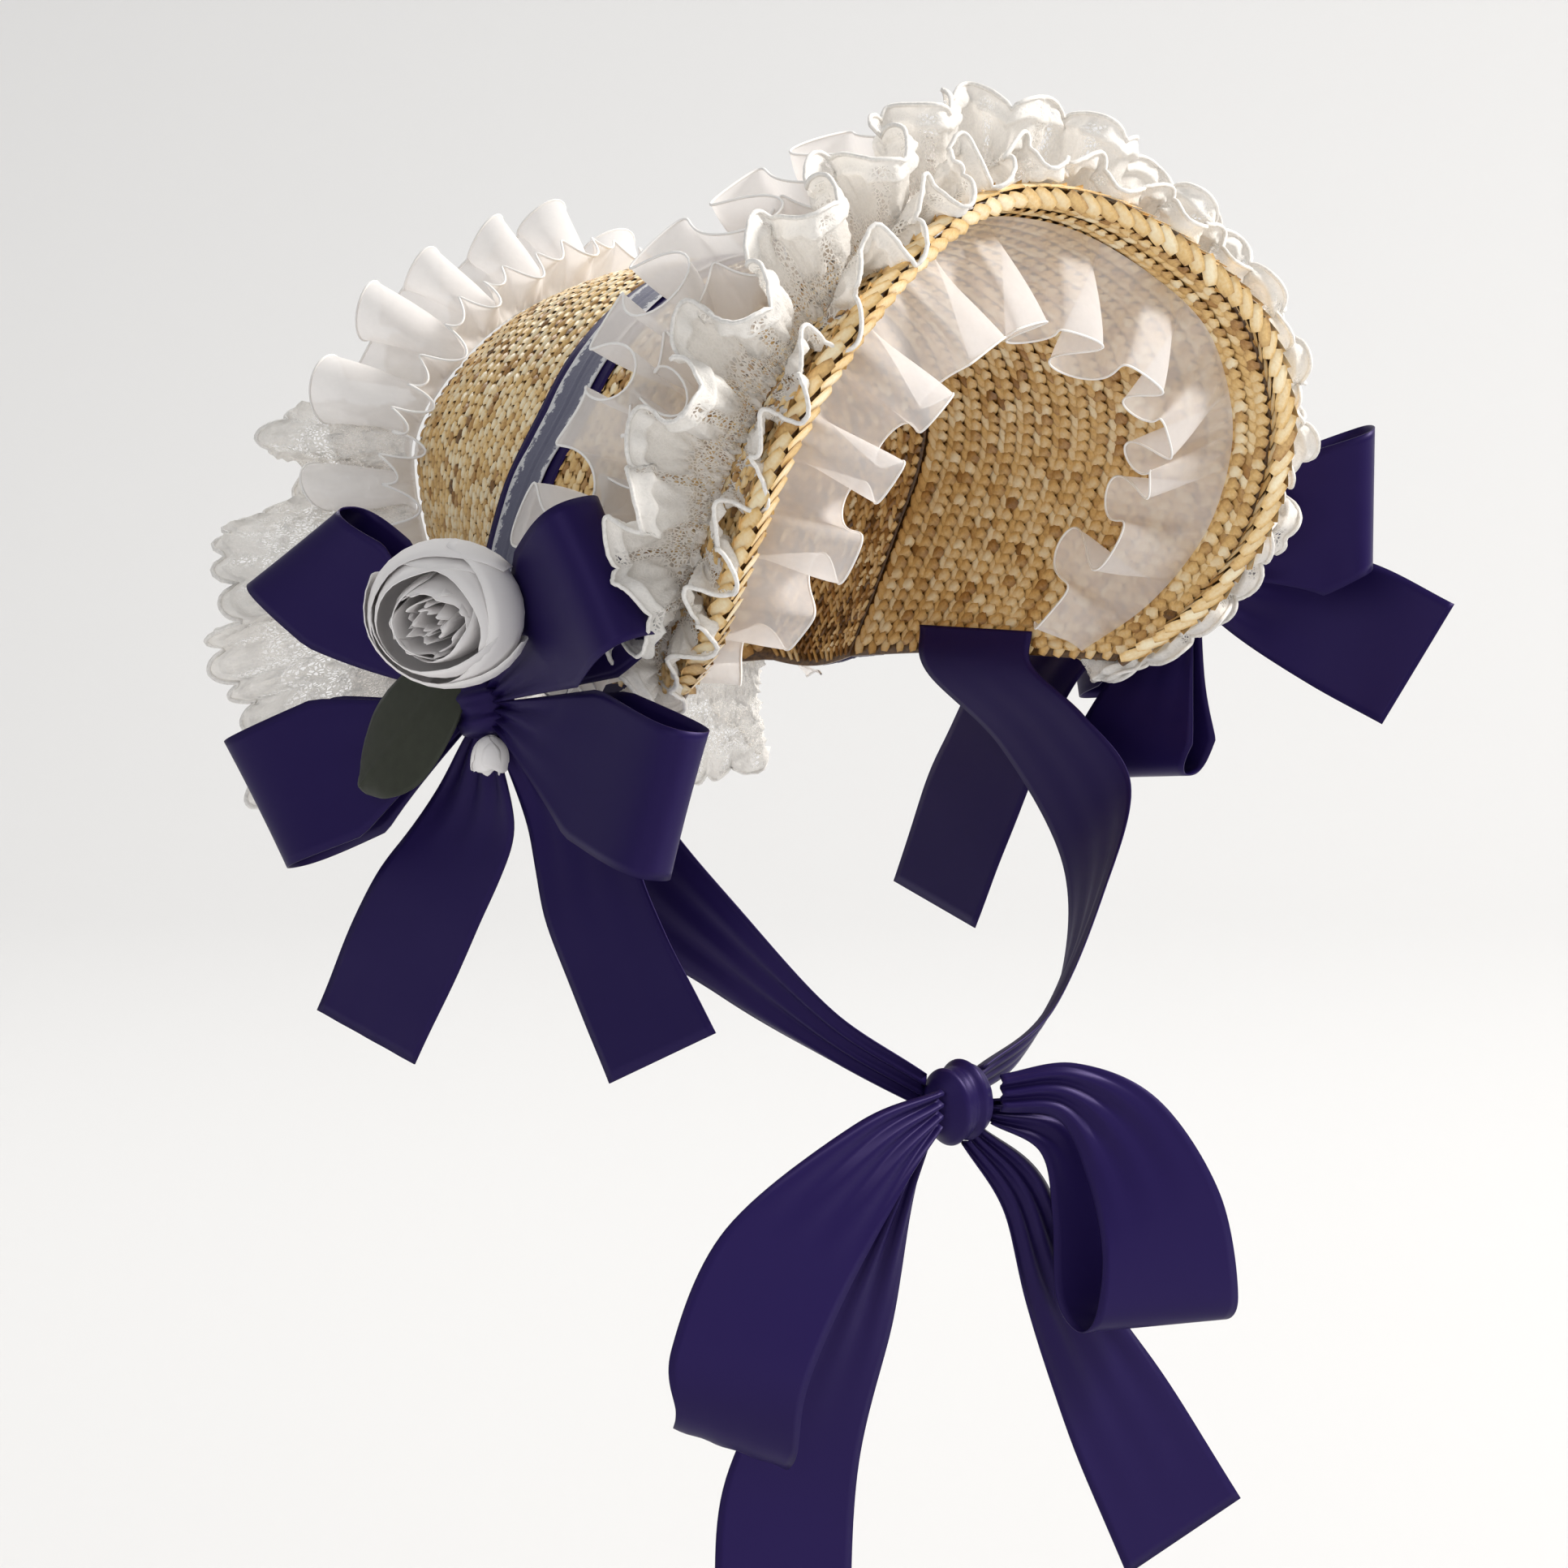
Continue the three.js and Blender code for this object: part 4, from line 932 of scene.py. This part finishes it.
def rosePetals(v):
    r = np.random.default_rng(v["seed"])
    front = unit(np.array(v["facing"], float))
    side = unit(np.cross([0, 0, 1], front))
    up = 0.9 * np.cross(front, side)
    b = np.linspace(0, 1, 13)[:, None]
    a = np.linspace(-1, 1, 17)[None, :]
    parts = []
    for ringAt, (count, widest, lipWide, lipHigh, ragged) in enumerate(v["rings"]):
        for k in range(count):
            turn = 2 * np.pi * (k + r.uniform(-0.13, 0.13)) / count + ringAt * 0.63
            spread = 2 * np.pi / count * r.uniform(0.72, 0.86)
            notch = np.abs(np.sin(2.5 * a + r.uniform(0, 6)) + 0.6 * np.sin(6.5 * a + r.uniform(0, 6)))
            c = b * (1 - 0.20 * np.abs(a) ** 3 - 1.7 * ragged * notch * b)
            root, belly = (1 - c) ** 2, 2 * c * (1 - c)
            wide = root * 0.10 + belly * widest * 1.22 + c ** 2 * (lipWide + r.uniform(-0.04, 0.07))
            high = root * -0.42 + belly * -0.10 + c ** 2 * (lipHigh + r.uniform(-0.07, 0.07))
            wide = wide + 0.05 * c ** 5 * r.uniform(0.2, 1.2) + 0.035 * a ** 2 * c
            wide = wide - 0.02 * np.sin(np.pi * c) * (1 - a ** 2)
            high = high + 0.010 * np.sin(9 * a + 4 * c + r.uniform(0, 6)) * c      # a shallow crease
            around = turn + spread * a * np.sin(np.pi / 2 * np.minimum(1, 0.25 + 1.1 * b))
            petal = (front * high[..., None] + side * (wide * np.cos(around))[..., None]
                     + up * (wide * np.sin(around))[..., None])
            parts.append((np.array(v["at"], float) + v["radius"] * petal, gridFaces(13, 17)))
    return joined(parts)


for name, v in roses.items():
    points, faces = rosePetals(v)
    finishPiece(meshPiece(name, points, faces, petalCloth, points[:, :2]), [v["node"]], 0.35)

# leaves: centre and half width across for each row
leafRows = {
    "right": [(-134, 51, -115, 0, 4, 4), (-139, 60, -125, 2, 12, 10), (-144, 71, -139, 2, 13, 12),
              (-147, 80, -149, 2, 9, 8), (-148, 86, -155, 0, 2, 2)],
    "left": [(139.5, 6, -80, 0, 4, 4), (146, 14, -88, -2, 12, 10), (150.5, 25, -101, -2, 13, 12),
             (154.5, 34, -112, -2, 9, 8), (155.5, 40, -118, 0, 2, 2)],
}
for side, rows in leafRows.items():
    rows = np.array(rows, float)
    t = np.linspace(0, 1, 33)
    centre, half = spline(rows[:, :3], t), spline(rows[:, 3:], t)
    normal = unit(np.cross(unit(np.gradient(centre, axis=0)), half)) * (1 if side == "right" else -1)
    b = np.linspace(-1, 1, 21)[:, None]
    middleVein = -0.35 * np.exp(-(b / 0.06) ** 2)
    sideVeins = -0.12 * np.exp(-(((t * 7 - np.abs(b) * 1.6) % 1 - 0.5) / 0.12) ** 2)
    cupped = 1.6 * b ** 2
    grid = centre + half * b[..., None] + normal * (middleVein + sideVeins + cupped)[..., None]
    leaf = meshPiece(side + "_rose_leaf", grid, gridFaces(21, 33), leafCloth)
    finishPiece(leaf, [side + "_leaf"], 0.4)
print("flowers made")


# camera, light and room

view = {"turn": 42, "rise": 6, "distance": 1700, "lens": 120.37, "sensor": 36, "originAcross": 31.3,
        "originUp": 156.8}


def placed(side, over, back, at):      # a matrix from three directions and a place
    return Matrix([(side[i], over[i], back[i], at[i]) for i in range(3)] + [(0, 0, 0, 1)])


turn, rise = np.radians(view["turn"]), np.radians(view["rise"])
inward, sideways = np.array([np.sin(turn), np.cos(turn)]), np.array([np.cos(turn), -np.sin(turn)])
ahead = np.array([*(inward * np.cos(rise)), -np.sin(rise)])
right = np.array([*sideways, 0])
upward = np.cross(right, ahead)
eye = -(ahead * view["distance"] + right * view["originAcross"] + upward * view["originUp"]) * mm
camera = bpy.data.objects.new("camera", bpy.data.cameras.new("camera"))
camera.data.lens = view["lens"]
camera.data.sensor_width = view["sensor"]
camera.data.clip_end = 50
camera.matrix_world = placed(right, upward, -ahead, eye)
bpy.context.scene.collection.objects.link(camera)
bpy.context.scene.camera = camera

room = {"floor": -0.52, "floorSteps": (-4.0, 0.0, 2.0), "wall": 2.4, "curve": 0.9, "wallSteps": (3.5, 6.0),
        "half": 8, "colour": (0.71, 0.712, 0.718), "air": (0.93, 0.93, 0.92), "airStrength": 0.40}
profile = [(y, room["floor"]) for y in room["floorSteps"]]      # the backdrop from the side
profile += [(room["wall"] + room["curve"] * np.sin(a), room["floor"] + room["curve"] * (1 - np.cos(a)))
            for a in np.linspace(0, np.pi / 2, 13)]
profile += [(room["wall"] + room["curve"], z) for z in room["wallSteps"]]
points = np.array([[*(inward * y + sideways * x), z] for y, z in profile
                   for x in np.linspace(-room["half"], room["half"], 5)]) / mm
backdropCloth = plainMaterial("backdrop", room["colour"], roughness=0.9)
backdrop = meshPiece("backdrop", points, gridFaces(len(profile), 5), backdropCloth)
backdrop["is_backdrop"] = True

lights = {      # place, what it points at, size, power, colour
    "key light": ((3.0, -2.9, 3.2), (0, 0, -0.1), 1.5, 330, (1.0, 0.97, 0.93)),
    "fill light": ((-2.4, -1.2, 0.6), (0, 0, -0.1), 2.0, 14, (0.95, 0.97, 1.0)),
    "back light": ((0.6, 2.0, 2.0), (0, 0.1, -0.1), 1.2, 20, (1.0, 0.99, 0.97)),
    "wall light": ((*(inward * 0.9), 3.4), (*(inward * 3.2), 0.3), 2.0, 4, (1, 1, 1)),
}
for name, (place, target, size, power, colour) in lights.items():
    lamp = bpy.data.objects.new(name, bpy.data.lights.new(name, "AREA"))
    lamp.data.shape = "DISK"
    lamp.data.size, lamp.data.energy, lamp.data.color = size, power, colour
    away = unit(np.array(place, float) - np.array(target, float))
    side = unit(np.cross([0, 0, 1], away))
    lamp.matrix_world = placed(side, np.cross(away, side), away, place)
    bpy.context.scene.collection.objects.link(lamp)

world = bpy.data.worlds.new("room")
world.use_nodes = True
world.node_tree.nodes["Background"].inputs["Color"].default_value = (*room["air"], 1)
world.node_tree.nodes["Background"].inputs["Strength"].default_value = room["airStrength"]
bpy.context.scene.world = world
bpy.context.scene.view_settings.view_transform = "Standard"
bpy.context.scene.view_settings.look = "None"
print("camera and lights made")

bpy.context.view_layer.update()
shown = [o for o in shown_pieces() if o.type == "MESH"]
triangles = {o.name: sum(len(p.vertices) - 2 for p in o.data.polygons) for o in shown}
print("triangles", sum(triangles.values()), sorted(triangles.items(), key=lambda x: -x[1])[:6])
